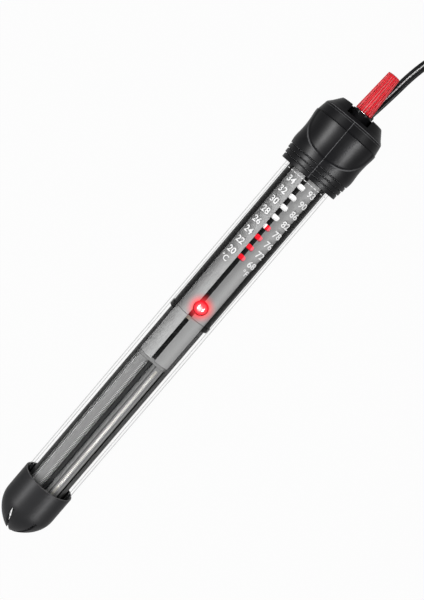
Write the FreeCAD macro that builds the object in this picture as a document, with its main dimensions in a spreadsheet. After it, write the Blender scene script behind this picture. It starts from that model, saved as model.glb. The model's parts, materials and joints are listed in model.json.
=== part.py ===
"""Submersible aquarium heater, lying on its back with its scale upwards.

Each piece is drawn about the heater's own axis: X runs from the tip of the guard cap (x = 0)
to the end of the red knob, Z points out of the scale and Y to the left of it. One placement
then lays every piece down, so that the guard cap and the wider head both touch the ground.
The cord, its hank and the plug are drawn where they lie on the ground.
"""
import FreeCAD, Part
import math
import os
import re

import Sketcher

SIZES = {
    # glass tube, closed and round at the tip, open inside the head
    "tube_radius": 12.5,
    "tube_wall": 1.2,
    "tube_tip_at": 5.5,
    "tube_top": 240.0,
    # guard cap over the closed end
    "cap_wall": 0.95,
    "cap_fit": 0.1,
    "cap_rim_at": 31.2,
    "cap_shoulder_at": 17.0,
    "cap_bend": 5.0,
    "cap_bend_inset": 4.87,
    "cap_nose_radius": 1.1,
    "cap_apex": 1.4,
    "slot_width": 1.6,
    "slot_top": 14.5,
    "slot_turn": -39.5,
    "slot_count": 6,
    # head cover
    "head_start": 218.6,
    "rib_wall": 2.8,
    "rib_rise": 0.4,
    "rib_pitch": 2.45,
    "bulge_step": 0.5,
    "bulge_at": 10.4,
    "bulge_wall": 4.25,
    "shoulder_at": 24.6,
    "shoulder_wall": 4.6,
    "step_at": 26.6,
    "grip_inset": 0.35,
    "grip_wall": 3.7,
    "grip_centre_at": 27.0,
    "top_at": 31.8,
    "top_wall": 3.35,
    "bevel_at": 33.3,
    "bevel_wall": 1.9,
    "crown_at": 37.4,
    "crown_radius": 11.3,
    "crown_gap": 11.6,
    "head_fit": 0.1,
    "head_cavity_radius": 11.6,
    "head_roof_at": 31.4,
    "gasket_at": 4.7,
    "gasket_width": 1.4,
    "gasket_depth": 1.15,
    # knob and spindle
    "knob_gap": 0.3,
    "knob_length": 21.1,
    "knob_base_radius": 4.37,
    "knob_end_radius": 3.13,
    "knob_edge": 0.4,
    "flute_count": 16,
    "flute_depth": 0.45,
    "shaft_radius": 1.9,
    "shaft_depth": 12.0,
    "running_gap": 0.1,
    "groove_lead": 13.8,
    "groove_width": 1.4,
    "groove_depth": 0.5,
    "journal_radius": 1.15,
    "journal_length": 2.0,
    # collar, stopper and gland under the crown
    "collar_radius": 5.0,
    "collar_end": 256.3,
    "seal_at": 4.0,
    "seal_width": 1.4,
    "seal_depth": 1.25,
    "seat_gap": 0.2,
    "stopper_length": 11.8,
    "stopper_fit": 0.1,
    "gland_y": -2.8,
    "gland_z": -7.5,
    "gland_radius": 2.85,
    "gland_end_radius": 2.5,
    "gland_end": 258.3,
    # carrier for the scale, inside the tube
    "chassis_fit": 0.7,
    "chassis_wall": 1.2,
    "flange_start": 134.4,
    "flange_length": 2.4,
    "flange_fit": 0.35,
    "front_inset": 2.55,
    "plate_fit": 1.2,
    "plate_wall": 0.6,
    "slot_left": 1.13,
    "slot_right": -1.0,
    "mask_wall": 0.8,
    "mask_half": 3.6,
    # windows of the scale
    "window_first": 172.5,
    "window_pitch": 5.859,
    "window_count": 8,
    "window_width": 3.6,
    "window_height": 2.5,
    "window_y": -0.6,
    "window_corner": 0.5,
    # indicator
    "strip_wall": 0.6,
    "strip_left": 3.9,
    "strip_right": -2.8,
    "strip_start": 165.5,
    "strip_end": 187.1,
    "tongue_left": 0.0,
    "tongue_length": 4.6,
    "nut_start": 168.0,
    "nut_length": 6.0,
    "nut_half": 2.8,
    "peg_radius": 0.35,
    "arm_inner": 2.4,
    "backing_start": 168.0,
    "backing_wall": 0.7,
    "backing_left": 1.9,
    "backing_right": -3.0,
    # lamp
    "lamp_x": 142.9,
    "lamp_y": -1.5,
    "lamp_radius": 3.45,
    "lamp_clearance": 0.55,
    "lamp_body": 2.3,
    "lamp_gap": 0.15,
    "lamp_post_radius": 2.6,
    # terminal board and thermostat
    "board_start": 137.2,
    "board_top": -6.2,
    "board_wall": 1.2,
    "board_fit": 0.12,
    "bearing_start": 147.0,
    "bearing_length": 2.4,
    "bearing_half": 3.0,
    "bimetal_start": 154.0,
    "bimetal_pivot": 216.0,
    "bimetal_tail": 3.0,
    "bimetal_half": 2.5,
    "bimetal_wall": 0.5,
    "bimetal_z": -4.4,
    "contact_x": 161.5,
    "contact_radius": 1.3,
    "contact_height": 0.9,
    "magnet_length": 3.0,
    "magnet_height": 1.2,
    "wire_radius": 0.6,
    "wire_y": 3.0,
    # heating section
    "trough_fit": 1.46,
    "trough_wall": 0.9,
    "trough_start": 24.0,
    "divider_half": 0.8,
    "divider_top": 5.2,
    "shield_start": 110.2,
    "cushion_length": 4.0,
    "wire_play": 0.03,
    "core_z": 2.4,
    "element_gap": 0.3,
    "element_play": 0.244,
    "wire_diameter": 0.5,
    "wire_gap": 0.12,
    "winding_turns": 4,
    "winding_start": 34.0,
    "winding_length": 68.0,
    "sheath_step": 0.3,
    "sheath_wall": 0.35,
    "sheath_slot": 1.3,
    "sheath_slot_start": 29.0,
    "sheath_slot_end": 106.5,
    "disc_wall": 2.0,
    # cord, hank and plug
    "cord_width": 4.4,
    "cord_thickness": 2.2,
    "hank_x": 236.0,
    "hank_lift": 0.7,
    "hank_loops": 4,
    "lobe_spacing": 33.0,
    "lobe_inner_radius": 13.2,
    "turn_step": 3.3,
    "layer_step": 4.85,
    "tie_wall": 0.6,
    "tie_width": 5.0,
    "tie_gap": 0.1,
    "plug_length": 34.0,
    "plug_width": 35.3,
    "plug_rear_width": 14.0,
    "plug_thickness": 13.7,
    "plug_rear_thickness": 9.0,
    "plug_corner": 2.0,
    "pin_spacing": 19.0,
    "pin_radius": 2.0,
    "pin_length": 19.0,
}

# sizes that follow others, by the walls and fits named above
FOLLOWING = {
    "tube_bore": "tube_radius - tube_wall",
    "tube_end_centre": "tube_tip_at + tube_radius",
    "cap_bend_radius": "tube_radius - cap_bend_inset",
    "rib_radius": "tube_radius + rib_wall",
    "bulge_radius": "tube_radius + bulge_wall",
    "shoulder_radius": "tube_radius + shoulder_wall",
    "top_radius": "tube_radius + top_wall",
    "bevel_radius": "tube_radius + bevel_wall",
    "grip_radius": "tube_radius + grip_wall",
    "stopper_radius": "tube_bore - stopper_fit",
    "chassis_radius": "tube_bore - chassis_fit",
    "flange_radius": "tube_bore - flange_fit",
    "plate_radius": "tube_bore - plate_fit",
    "front_half": "chassis_radius - front_inset",
    "plate_half": "front_half - running_gap",
    "mask_top": "sqrt((plate_radius - plate_wall)^2 - mask_half^2) - running_gap",
    "lamp_dome_z": "tube_bore - lamp_clearance - lamp_radius",
    "lamp_base_z": "lamp_dome_z - lamp_body",
    "board_reach": "chassis_radius - chassis_wall - board_fit",
    "board_half": "sqrt(board_reach^2 - (board_wall - board_top)^2)",
    "trough_radius": "tube_bore - trough_fit",
    "element_side": "divider_half + element_play",
    "element_reach": "trough_radius - trough_wall - element_gap",
    "element_room": "element_reach^2 - element_side^2 - core_z^2",
    "left_sheath_radius": "element_room / (2 * (element_reach + element_side))",
    "right_sheath_radius": "left_sheath_radius - sheath_step",
    "left_core_y": "element_side + left_sheath_radius",
    "right_core_y": "-element_side - right_sheath_radius",
    "winding_radius": "right_sheath_radius - sheath_wall - wire_play - wire_diameter / 2",
    "core_radius": "winding_radius - wire_diameter / 2 - wire_gap",
}

doc = FreeCAD.newDocument("AquariumHeater")
Vector = FreeCAD.Vector


def make_sheet():
    """The spreadsheet that holds the sizes, in millimetres and degrees."""
    sheet = doc.addObject("Spreadsheet::Sheet", "Sizes")
    formulas = {name: f"={formula}" for name, formula in FOLLOWING.items()}
    for row, (name, content) in enumerate({**SIZES, **formulas}.items(), start=1):
        sheet.set(f"A{row}", name)
        sheet.setAlias(f"B{row}", name)
        sheet.set(f"B{row}", str(content))
    doc.recompute()
    return sheet


sheet = make_sheet()
pieces = []


def bound(formula):
    """The formula with every size in it named as a cell of the sheet."""
    return re.sub(r"\b([a-z]\w*)\b(?!\()", r"Sizes.\1", str(formula))


def value(formula):
    """What the formula comes to now."""
    return float(sheet.evalExpression(bound(formula)))


def bind(thing, **targets):
    """Bind properties of a feature to formulas."""
    for name, formula in targets.items():
        thing.setExpression(name, bound(formula))


def put(thing, x="0", y="0", z="0", turn=None):
    """Place a primitive at bound coordinates, turned by a fixed rotation."""
    if turn:
        thing.Placement = FreeCAD.Placement(Vector(), turn)
    for axis, formula in (("x", x), ("y", y), ("z", z)):
        thing.setExpression(f"Placement.Base.{axis}", bound(formula))
    return thing


ALONG_X = FreeCAD.Rotation(Vector(0, 1, 0), 90)


def keep(label, thing, placement=FreeCAD.Placement(), lies=True):
    """Take a finished object as the piece called label. It is laid down with the heater,
    unless it was drawn where it lies on the ground."""
    thing.Label = label
    pieces.append((label, thing, placement, lies))


# Sketches and PartDesign features


def new_body(label):
    body = doc.addObject("PartDesign::Body", label + "_body")
    return body


def origin(body, role):
    """One of the body's own origin planes or axes."""
    return next(f for f in body.Origin.OriginFeatures if f.Role == role)


def new_sketch(body, plane, offset="0"):
    sketch = body.newObject("Sketcher::SketchObject", "Sketch")
    sketch.AttachmentSupport = [(origin(body, plane), "")]
    sketch.MapMode = "FlatFace"
    sketch.setExpression("AttachmentOffset.Base.z", bound(offset))
    return sketch


def outline(sketch, corners):
    """A closed outline of straight edges whose corners are bound to (x, y) formulas."""
    places = [Vector(value(x), value(y), 0) for x, y in corners]
    for start, stop in zip(places, places[1:] + places[:1]):
        sketch.addGeometry(Part.LineSegment(start, stop))
    for edge, (corner, place) in enumerate(zip(corners, places, strict=True)):
        before = (edge - 1) % len(corners)
        sketch.addConstraint(Sketcher.Constraint("Coincident", before, 2, edge, 1))
        for kind, formula, now, axis in (
            ("DistanceX", corner[0], place.x, -2),
            ("DistanceY", corner[1], place.y, -1),
        ):
            if formula == "0":
                sketch.addConstraint(Sketcher.Constraint("PointOnObject", edge, 1, axis))
            else:
                index = sketch.addConstraint(Sketcher.Constraint(kind, -1, 1, edge, 1, now))
                sketch.setExpression(f"Constraints[{index}]", bound(formula))


def bulged(start, stop, rise, steps):
    """The corners of a gentle curve from start up to stop, drawn as a few short tapers. It
    leaves the straight line between them by rise at its middle."""
    corners = []
    for step in range(steps):
        share = step / steps
        x = f"({start[0]}) + {share} * ({stop[0]} - ({start[0]}))"
        y = f"({start[1]}) + {share} * ({stop[1]} - ({start[1]}))"
        corners.append((x, f"{y} + {4 * share * (1 - share)} * ({rise})"))
    return corners


def domed(x, radius, first, last, steps):
    """The corners of an arc centred on the axis at x, from one angle to another."""
    angles = [first + (last - first) * step / steps for step in range(steps + 1)]
    return [
        (f"{x} + ({radius}) * cos({a})", f"({radius}) * sin({a})" if a % 180 else "0")
        for a in angles
    ]


def revolve(body, corners):
    """Turn an outline of (x, radius) corners all the way round the heater's axis."""
    sketch = new_sketch(body, "XZ_Plane")
    outline(sketch, corners)
    feature = body.newObject("PartDesign::Revolution", "Revolution")
    feature.Profile = sketch
    feature.ReferenceAxis = (sketch, ["H_Axis"])
    feature.Angle = 360
    return feature


def pad(body, plane, offset, corners, length):
    sketch = new_sketch(body, plane, offset)
    outline(sketch, corners)
    feature = body.newObject("PartDesign::Pad", "Pad")
    feature.Profile = sketch
    bind(feature, Length=length)
    return feature


def cut_box(body, x, y, z, length, width, height):
    """Cut away a box: its lowest corner, then its sizes along X, Y and Z."""
    feature = body.newObject("PartDesign::SubtractiveBox", "BoxCut")
    bind(feature, Length=length, Width=width, Height=height)
    return put(feature, x, y, z)


def cut_bore(body, x, y, z, radius, length, turn=ALONG_X):
    feature = body.newObject("PartDesign::SubtractiveCylinder", "Bore")
    bind(feature, Radius=radius, Height=length)
    return put(feature, x, y, z, turn)


def around(body, feature, count):
    """Repeat a feature evenly round the heater's axis."""
    pattern = body.newObject("PartDesign::PolarPattern", "PolarPattern")
    pattern.Originals = [feature]
    pattern.Axis = (origin(body, "X_Axis"), [""])
    pattern.Angle = 360
    bind(pattern, Occurrences=count)
    body.Tip = pattern
    return pattern


def bevelled(left, right, low, high, corner):
    """The corners of a rectangle whose own corners are cut off."""
    return [
        (left, f"{low} + {corner}"),
        (f"{left} + {corner}", low),
        (f"{right} - {corner}", low),
        (right, f"{low} + {corner}"),
        (right, f"{high} - {corner}"),
        (f"{right} - {corner}", high),
        (f"{left} + {corner}", high),
        (left, f"{high} - {corner}"),
    ]


# Part primitives


def bar(x, radius, length, y="0", z="0"):
    """A round bar along the heater."""
    thing = doc.addObject("Part::Cylinder", "Bar")
    bind(thing, Radius=radius, Height=length)
    return put(thing, x, y, z, ALONG_X)


def post(x, y, z, radius, height):
    """An upright round post."""
    thing = doc.addObject("Part::Cylinder", "Post")
    bind(thing, Radius=radius, Height=height)
    return put(thing, x, y, z)


def block(x, y, z, length, width, height):
    """A box from its lowest corner."""
    thing = doc.addObject("Part::Box", "Block")
    bind(thing, Length=length, Width=width, Height=height)
    return put(thing, x, y, z)


def cut(base, *tools):
    for tool in tools:
        result = doc.addObject("Part::Cut", "Cut")
        result.Base = base
        result.Tool = tool
        base = result
    return base


def fuse(*things):
    result = doc.addObject("Part::MultiFuse", "Fuse")
    result.Shapes = list(things)
    return result


def common(base, tool):
    result = doc.addObject("Part::Common", "Common")
    result.Base = base
    result.Tool = tool
    return result


def group(*things):
    """One piece, or several like pieces that share a node."""
    result = doc.addObject("Part::Compound", "Group")
    result.Links = list(things)
    return result


def ring(x, inner, outer, length):
    return cut(bar(x, outer, length), bar(f"{x} - 1", inner, f"{length} + 2"))


# Tubes swept along arcs


def arc_edge(start, way, stop):
    """The arc, or straight edge, from start to stop that leaves start along way."""
    chord = stop - start
    along = Vector(chord).normalize()
    across = way - along * way.dot(along)
    if across.Length < 1e-7:
        return Part.LineSegment(start, stop).toShape()
    half_angle = math.atan2(across.Length, way.dot(along))
    middle = (start + stop) / 2 + across.normalize() * (chord.Length / 2 * math.tan(half_angle / 2))
    return Part.Arc(start, middle, stop).toShape()


def biarc(start, start_way, stop, stop_way):
    """Two arcs that join start to stop smoothly, with the given directions at the ends."""
    chord = stop - start
    ways = start_way + stop_way
    spread = 2 * (1 - start_way.dot(stop_way))
    along = chord.dot(ways)
    if spread < 1e-9:
        reach = chord.dot(chord) / (4 * chord.dot(stop_way))
    else:
        reach = (-along + math.sqrt(along**2 + spread * chord.dot(chord))) / spread
    joint = (start + start_way * reach + stop - stop_way * reach) / 2
    joint_way = (stop - stop_way * reach) - (start + start_way * reach)
    joint_way.normalize()
    return [arc_edge(start, start_way, joint), arc_edge(joint, joint_way, stop)]


def smooth_path(stations):
    """Biarcs through (place, direction) stations."""
    edges = []
    for (start, start_way), (stop, stop_way) in zip(stations, stations[1:]):
        edges += biarc(start, start_way, stop, stop_way)
    return edges


def sweep(edges, section):
    """The solid that a closed section makes along a path of edges."""
    shell = Part.BRepOffsetAPI.MakePipeShell(Part.Wire(edges))
    shell.add(section)
    shell.build()
    shell.makeSolid()
    return shell.shape()


def section_at(place, way, corners):
    """A closed section of (side, up) corners, square to way."""
    side = way.cross(Vector(0, 0, 1)).normalize()
    up = side.cross(way).normalize()
    places = [place + side * across + up * rise for across, rise in corners]
    return Part.makePolygon(places + places[:1])


def keep_shape(label, shape, lies=True):
    """Take a shape made by code as the piece called label."""
    feature = doc.addObject("Part::Feature", label)
    feature.Shape = shape
    keep(label, feature, lies=lies)


def least_gap(edges, thickness, step, skip):
    """The least gap of a tube to itself, between points of its middle line that lie a step
    apart, leaving out points that follow each other within skip steps."""
    points = [p for edge in edges for p in edge.discretize(int(edge.Length / step) + 2)[:-1]]
    least = min(
        first.distanceToPoint(second)
        for number, first in enumerate(points)
        for second in points[number + skip :]
    )
    return least - thickness


# Glass tube and guard cap


def make_glass_tube():
    body = new_body("glass_tube")
    inner = "tube_bore"
    revolve(body, domed("tube_end_centre", "tube_radius", 180, 90, 3) + [
        ("tube_top", "tube_radius"),
        ("tube_top", inner),
    ] + domed("tube_end_centre", inner, 90, 180, 2))
    keep("glass_tube", body)


def make_tip_cap():
    """A thin moulded cap whose nose is split into petals that let water through."""
    body = new_body("tip_cap")
    outer = "tube_radius + cap_fit + cap_wall"
    bend = ("cap_bend", "cap_bend_radius")
    inner = "tube_radius + cap_fit"
    inner_bend = ("cap_bend + 0.8 * cap_wall", "cap_bend_radius - 0.6 * cap_wall")
    rise = f"({outer} - cap_bend_radius) / 4"
    revolve(body, [
        ("0", "0"),
        ("0", "cap_nose_radius"),
        *bulged(bend, ("cap_shoulder_at", outer), rise, 2),
        ("cap_shoulder_at", outer),
        ("cap_rim_at", outer),
        ("cap_rim_at", inner),
        ("cap_shoulder_at", inner),
        *reversed(bulged(inner_bend, ("cap_shoulder_at", inner), rise, 2)),
        ("cap_apex", "0"),
    ])
    slot = cut_box(
        body, "-1", "-slot_width / 2", "0", "slot_top + 1", "slot_width", f"{outer} + 1"
    )
    doc.recompute()
    turn = FreeCAD.Rotation(Vector(1, 0, 0), value("slot_turn"))
    shift = turn.multVec(Vector(-1, -value("slot_width") / 2, 0))
    slot.Placement = FreeCAD.Placement(shift, turn)
    for axis, formula in (
        ("y", "-slot_width / 2 * cos(slot_turn)"),
        ("z", "-slot_width / 2 * sin(slot_turn)"),
    ):
        slot.setExpression(f"Placement.Base.{axis}", bound(formula))
    around(body, slot, "slot_count")
    keep("tip_cap", body)


# Head cover and what it holds


def rib_corners():
    """Three moulded ribs at the mouth of the head, each a step wider than the one below."""
    corners = []
    for number in range(3):
        radius = f"rib_radius + {number} * rib_rise"
        corners.append((f"head_start + {number} * rib_pitch", radius))
        corners.append((f"head_start + {number + 1} * rib_pitch", radius))
    return corners


def make_head_cover():
    """The moulded cover: a grip of two thumb hollows, one at the front and one at the back,
    lies below a stepped shoulder; the crown is cut open at the front for the collar."""
    body = new_body("head_cover")
    bulge, shoulder = "head_start + bulge_at", "head_start + shoulder_at"
    step, ribs_end = "head_start + step_at", "head_start + 3 * rib_pitch"
    revolve(body, [
        (ribs_end, "bulge_radius - 2 * bulge_step"),
        (ribs_end, "bulge_radius - bulge_step"),
        (bulge, "bulge_radius"),
        (shoulder, "shoulder_radius"),
        (step, "shoulder_radius"),
        (step, "bulge_radius - 2 * bulge_step"),
    ])
    hollow = cut_bore(
        body, "head_start + grip_centre_at", "0", "-2 * shoulder_radius",
        "grip_radius", "4 * shoulder_radius", FreeCAD.Rotation(),
    )
    hollow.Label = "ThumbHollows"
    inner = "tube_radius + head_fit"
    inset_bulge, inset_shoulder = "bulge_radius - grip_inset", "shoulder_radius - grip_inset"
    gasket = "head_start + gasket_at"
    revolve(body, rib_corners() + [
        (ribs_end, "bulge_radius - bulge_step - grip_inset"),
        (bulge, inset_bulge),
        (shoulder, inset_shoulder),
        (step, inset_shoulder),
        ("head_start + top_at", "top_radius"),
        ("head_start + bevel_at", "bevel_radius"),
        ("head_start + crown_at", "crown_radius"),
        ("head_start + crown_at", "collar_radius + head_fit"),
        ("head_start + head_roof_at", "collar_radius + head_fit"),
        ("head_start + head_roof_at", "head_cavity_radius"),
        ("tube_top + 3 * head_fit", "head_cavity_radius"),
        ("tube_top + 3 * head_fit", inner),
        (f"{gasket} + gasket_width", inner),
        (f"{gasket} + gasket_width", f"{inner} + gasket_depth"),
        (gasket, f"{inner} + gasket_depth"),
        (gasket, inner),
        ("head_start", inner),
    ])
    cut_box(
        body, "head_start + bevel_at", "-crown_gap / 2", "0",
        "crown_at", "crown_gap", "bevel_radius + 1",
    )
    cut_bore(
        body, "head_start + bevel_at", "0", "0", "crown_gap / 2", "crown_at",
    )
    cut_bore(
        body, "head_start + shoulder_at", "gland_y", "gland_z",
        "gland_radius + head_fit", "crown_at",
    )
    keep("head_cover", body)


def make_knob_collar():
    """The bush that carries the knob's shaft, with a groove for the shaft's seal."""
    start = "tube_top"
    outer = bar(start, "collar_radius", "collar_end - tube_top")
    bore = bar(f"{start} - 1", "shaft_radius + running_gap", "collar_end - tube_top + 2")
    groove = bar(f"{start} + seal_at", "shaft_radius + seal_depth + running_gap", "seal_width")
    keep("knob_collar", cut(outer, bore, groove))


def make_seals():
    keep("shaft_seal", ring(
        "tube_top + seal_at + running_gap / 2", "shaft_radius + running_gap / 2",
        "shaft_radius + seal_depth + running_gap / 2", "seal_width - running_gap",
    ))
    keep("tube_seal", ring(
        "head_start + gasket_at + head_fit / 2", "tube_radius + head_fit / 2",
        "tube_radius + gasket_depth + head_fit / 2", "gasket_width - head_fit",
    ))


def make_stopper():
    """The rubber plug that closes the tube and holds the carrier."""
    start = "tube_top - seat_gap - stopper_length"
    whole = bar(start, "stopper_radius", "stopper_length")
    bore = bar(f"{start} - 1", "shaft_radius + running_gap", "stopper_length + 2")
    keep("sealing_stopper", cut(whole, bore))


def make_cord_gland():
    body = new_body("cord_gland")
    revolve(body, [
        ("tube_top", "0"),
        ("tube_top", "gland_radius"),
        ("head_start + crown_at", "gland_radius"),
        ("gland_end", "gland_end_radius"),
        ("gland_end", "0"),
    ])
    aside = FreeCAD.Placement(Vector(0, value("gland_y"), value("gland_z")), FreeCAD.Rotation())
    keep("cord_gland", body, aside)


# Knob and spindle, which turn together


def make_knob():
    """A tapered finger knob with sharp flutes that follow its taper."""
    body = new_body("knob")
    start = "collar_end + knob_gap"
    end = "collar_end + knob_gap + knob_length"
    revolve(body, [
        (start, "shaft_radius"),
        (start, "knob_base_radius - knob_edge"),
        (f"{start} + knob_edge", "knob_base_radius"),
        (f"{end} - knob_edge", "knob_end_radius"),
        (end, "knob_end_radius - knob_edge"),
        (end, "0"),
        (f"{start} + shaft_depth", "0"),
        (f"{start} + shaft_depth", "shaft_radius"),
    ])
    sections = []
    for offset, radius in ((start, "knob_base_radius"), (end, "knob_end_radius")):
        sketch = new_sketch(body, "YZ_Plane", offset)
        rim = f"{radius} + flute_depth / 2"
        half = f"{rim} * 0.8 * tan(180 / flute_count)"
        outline(sketch, [
            ("0", f"{radius} - flute_depth"),
            (half, rim),
            (f"-{half}", rim),
        ])
        sections.append(sketch)
    flute = body.newObject("PartDesign::SubtractiveLoft", "Flute")
    flute.Profile = sections[0]
    flute.Sections = sections[1:]
    flute.Ruled = True
    around(body, flute, "flute_count")
    keep("knob", body)


def make_spindle():
    """The shaft: a seal land, a steep screw for the indicator, and a journal at its end."""
    screw_start = "bearing_start + bearing_length + running_gap"
    land = "tube_top - stopper_length - seat_gap"
    end = "collar_end + knob_gap + shaft_depth - running_gap"
    body = new_body("spindle")
    revolve(body, [
        (f"{screw_start} - journal_length", "0"),
        (f"{screw_start} - journal_length", "journal_radius"),
        (screw_start, "journal_radius"),
        (screw_start, "shaft_radius"),
        (end, "shaft_radius"),
        (end, "0"),
    ])
    doc.recompute()
    sketch = new_sketch(body, "XZ_Plane")
    outline(sketch, [
        (screw_start, "shaft_radius - groove_depth"),
        (screw_start, "shaft_radius + groove_depth"),
        (f"{screw_start} + groove_width", "shaft_radius + groove_depth"),
        (f"{screw_start} + groove_width", "shaft_radius - groove_depth"),
    ])
    groove = body.newObject("PartDesign::SubtractiveHelix", "ScrewGroove")
    groove.Profile = sketch
    groove.ReferenceAxis = (sketch, ["H_Axis"])
    groove.Mode = 0
    bind(groove, Pitch="groove_lead", Height=f"{land} - ({screw_start}) - 2 * groove_width")
    keep("spindle", body)


# Carrier, scale plates and windows


def front_gap(x, length, half, radius):
    """The box that opens the front of a round channel."""
    return block(x, f"-{half}", "0", length, f"2 * {half}", f"{radius} + 1")


def make_chassis():
    """A moulded channel, open at the front, with a flange at its lower end."""
    top = "tube_top - stopper_length - seat_gap"
    length = f"{top} - flange_start"
    flange = bar("flange_start", "flange_radius", "flange_length")
    channel = bar("flange_start", "chassis_radius", length)
    hollow = bar("flange_start - 1", "chassis_radius - chassis_wall", f"{length} + 2")
    gap = front_gap("flange_start - 1", f"{length} + 2", "front_half", "flange_radius")
    keep("chassis", cut(fuse(flange, channel), hollow, gap))


def plate(x, length, edges):
    """A curved plate between two distances from the middle of the slot."""
    low, high = edges
    shell = ring(x, "plate_radius - plate_wall", "plate_radius", length)
    window = block(x, low, "0", length, f"{high} - ({low})", "2 * plate_radius")
    return common(shell, window)


LEFT_PLATE = ("slot_left", "plate_half")
RIGHT_PLATE = ("-plate_half", "slot_right")


def window_cutters(low, high):
    """One rounded window for each mark of the scale."""
    cutters = []
    for number in range(int(value("window_count"))):
        x = f"window_first + {number} * window_pitch"
        body = new_body(f"window_{number}")
        corners = bevelled(
            f"{x} - window_height / 2", f"{x} + window_height / 2",
            "window_y - window_width / 2", "window_y + window_width / 2", "window_corner",
        )
        pad(body, "XY_Plane", low, corners, f"{high} - ({low})")
        cutters.append(body)
    return cutters


def lamp_hole(low, height):
    return post("lamp_x", "lamp_y", low, "lamp_radius + lamp_gap", height)


def make_scale():
    """The two scale plates, the black mask behind their slot and the white backing strip."""
    start = "flange_start + flange_length"
    length = f"tube_top - stopper_length - seat_gap - ({start})"
    left = plate(start, length, LEFT_PLATE)
    keep("scale_plate_left", cut(left, lamp_hole("0", "2 * plate_radius")))
    right = cut(plate(start, length, RIGHT_PLATE), lamp_hole("0", "2 * plate_radius"))
    windows = window_cutters("mask_top + running_gap", "2 * plate_radius")
    keep("scale_plate_right", cut(right, *windows))
    mask = block(
        start, "-mask_half", "mask_top - mask_wall", length, "2 * mask_half", "mask_wall"
    )
    windows = window_cutters("mask_top - 2 * mask_wall", "mask_top + mask_wall")
    keep("window_mask", cut(mask, lamp_hole("0", "2 * plate_radius"), *windows))
    top = "mask_top - mask_wall - strip_wall - 2 * running_gap"
    keep("white_backing", group(block(
        "backing_start", "backing_right", f"{top} - backing_wall",
        "tube_top - stopper_length - seat_gap - backing_start",
        "backing_left - backing_right", "backing_wall",
    )))


def make_heat_shields():
    """Plain plates over the top of the heating section, in line with the scale plates."""
    length = "flange_start + flange_length - seat_gap / 2 - shield_start"
    keep("heat_shield_left", plate("shield_start", length, LEFT_PLATE))
    keep("heat_shield_right", plate("shield_start", length, RIGHT_PLATE))


# Indicator, which slides along the scale


def make_indicator():
    """The red strip behind the windows, and the nut that the spindle's screw drives."""
    top = "mask_top - mask_wall - running_gap"
    low = f"{top} - strip_wall"
    strip = block(
        "strip_start", "strip_right", low,
        "strip_end - strip_start", "strip_left - strip_right", "strip_wall",
    )
    tongue = block(
        "strip_start", "strip_right", low,
        "strip_end + tongue_length - strip_start", "tongue_left - strip_right", "strip_wall",
    )
    keep("indicator_strip", fuse(strip, tongue))
    nut = block(
        "nut_start", "-nut_half", "-nut_half", "nut_length", "2 * nut_half", "2 * nut_half"
    )
    arm = block(
        "nut_start", "arm_inner", "0", "nut_length", "strip_left - arm_inner", low
    )
    bore = bar("nut_start - 1", "shaft_radius + running_gap", "nut_length + 2")
    tip = "shaft_radius - groove_depth + running_gap"
    screw_start = "bearing_start + bearing_length + running_gap"
    peg = post(
        f"{screw_start} + groove_width / 2 + 1.5 * groove_lead", "0", "-nut_half + running_gap",
        "peg_radius", f"nut_half - running_gap - ({tip})",
    )
    keep("indicator_nut", fuse(cut(fuse(nut, arm), bore), peg))


# Lamp, terminal board and thermostat


def make_lamp():
    """A domed red lamp on a post that stands on the terminal board."""
    body = new_body("lamp_lens")
    revolve(body, domed("lamp_dome_z", "lamp_radius", 0, 90, 2) + [
        ("lamp_base_z", "lamp_radius"),
        ("lamp_base_z", "0"),
    ])
    upright = FreeCAD.Rotation(Vector(0, 1, 0), -90)
    place = Vector(value("lamp_x"), value("lamp_y"), 0)
    keep("lamp_lens", body, FreeCAD.Placement(place, upright))
    keep("lamp_holder", group(post(
        "lamp_x", "lamp_y", "board_top + running_gap", "lamp_post_radius",
        "lamp_base_z - board_top - 2 * running_gap",
    )))


def make_board():
    keep("terminal_board", group(block(
        "board_start", "-board_half", "board_top - board_wall",
        "tube_top - stopper_length - seat_gap - board_start - running_gap",
        "2 * board_half", "board_wall",
    )))
    bearing = block(
        "bearing_start", "-bearing_half", "board_top + running_gap / 2",
        "bearing_length", "2 * bearing_half", "bearing_half - board_top",
    )
    bore = bar("bearing_start - 1", "journal_radius + running_gap", "bearing_length + 2")
    keep("spindle_bearing", cut(bearing, bore))


def make_thermostat():
    """A bimetal arm on its post; its contact lies on the fixed one until the arm lifts."""
    end = "bimetal_pivot + bimetal_tail"
    keep("bimetal_arm", group(block(
        "bimetal_start", "-bimetal_half", "bimetal_z",
        f"{end} - bimetal_start", "2 * bimetal_half", "bimetal_wall",
    )))
    keep("moving_contact", group(post(
        "contact_x", "0", "bimetal_z - contact_height", "contact_radius", "contact_height",
    )))
    floor = "board_top + running_gap / 2"
    gap = "running_gap / 2"
    keep("fixed_contact", group(post(
        "contact_x", "0", floor, "contact_radius",
        f"bimetal_z - contact_height - {gap} - ({floor})",
    )))
    keep("bimetal_post", group(block(
        "bimetal_pivot - bimetal_tail", "-bimetal_half", floor,
        "2 * bimetal_tail", "2 * bimetal_half", f"bimetal_z - running_gap - ({floor})",
    )))
    keep("magnet", group(block(
        "bimetal_start + running_gap", "-bimetal_half", floor,
        "magnet_length", "2 * bimetal_half", "magnet_height",
    )))


def make_divider_disc():
    """The insulating disc between the heating section and the thermostat."""
    start, length = "flange_start + running_gap", "disc_wall - 2 * running_gap"
    disc = bar(start, "chassis_radius - chassis_wall - running_gap", length)
    above = block(start, "-chassis_radius", "divider_top", length, "2 * chassis_radius", "tube_radius")
    holes = [
        bar(f"{start} - 1", "wire_radius + running_gap", f"{length} + 2", y,
            "board_top + wire_radius + running_gap")
        for y in ("wire_y", "-wire_y")
    ]
    keep("insulating_disc", cut(disc, above, *holes))


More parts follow.
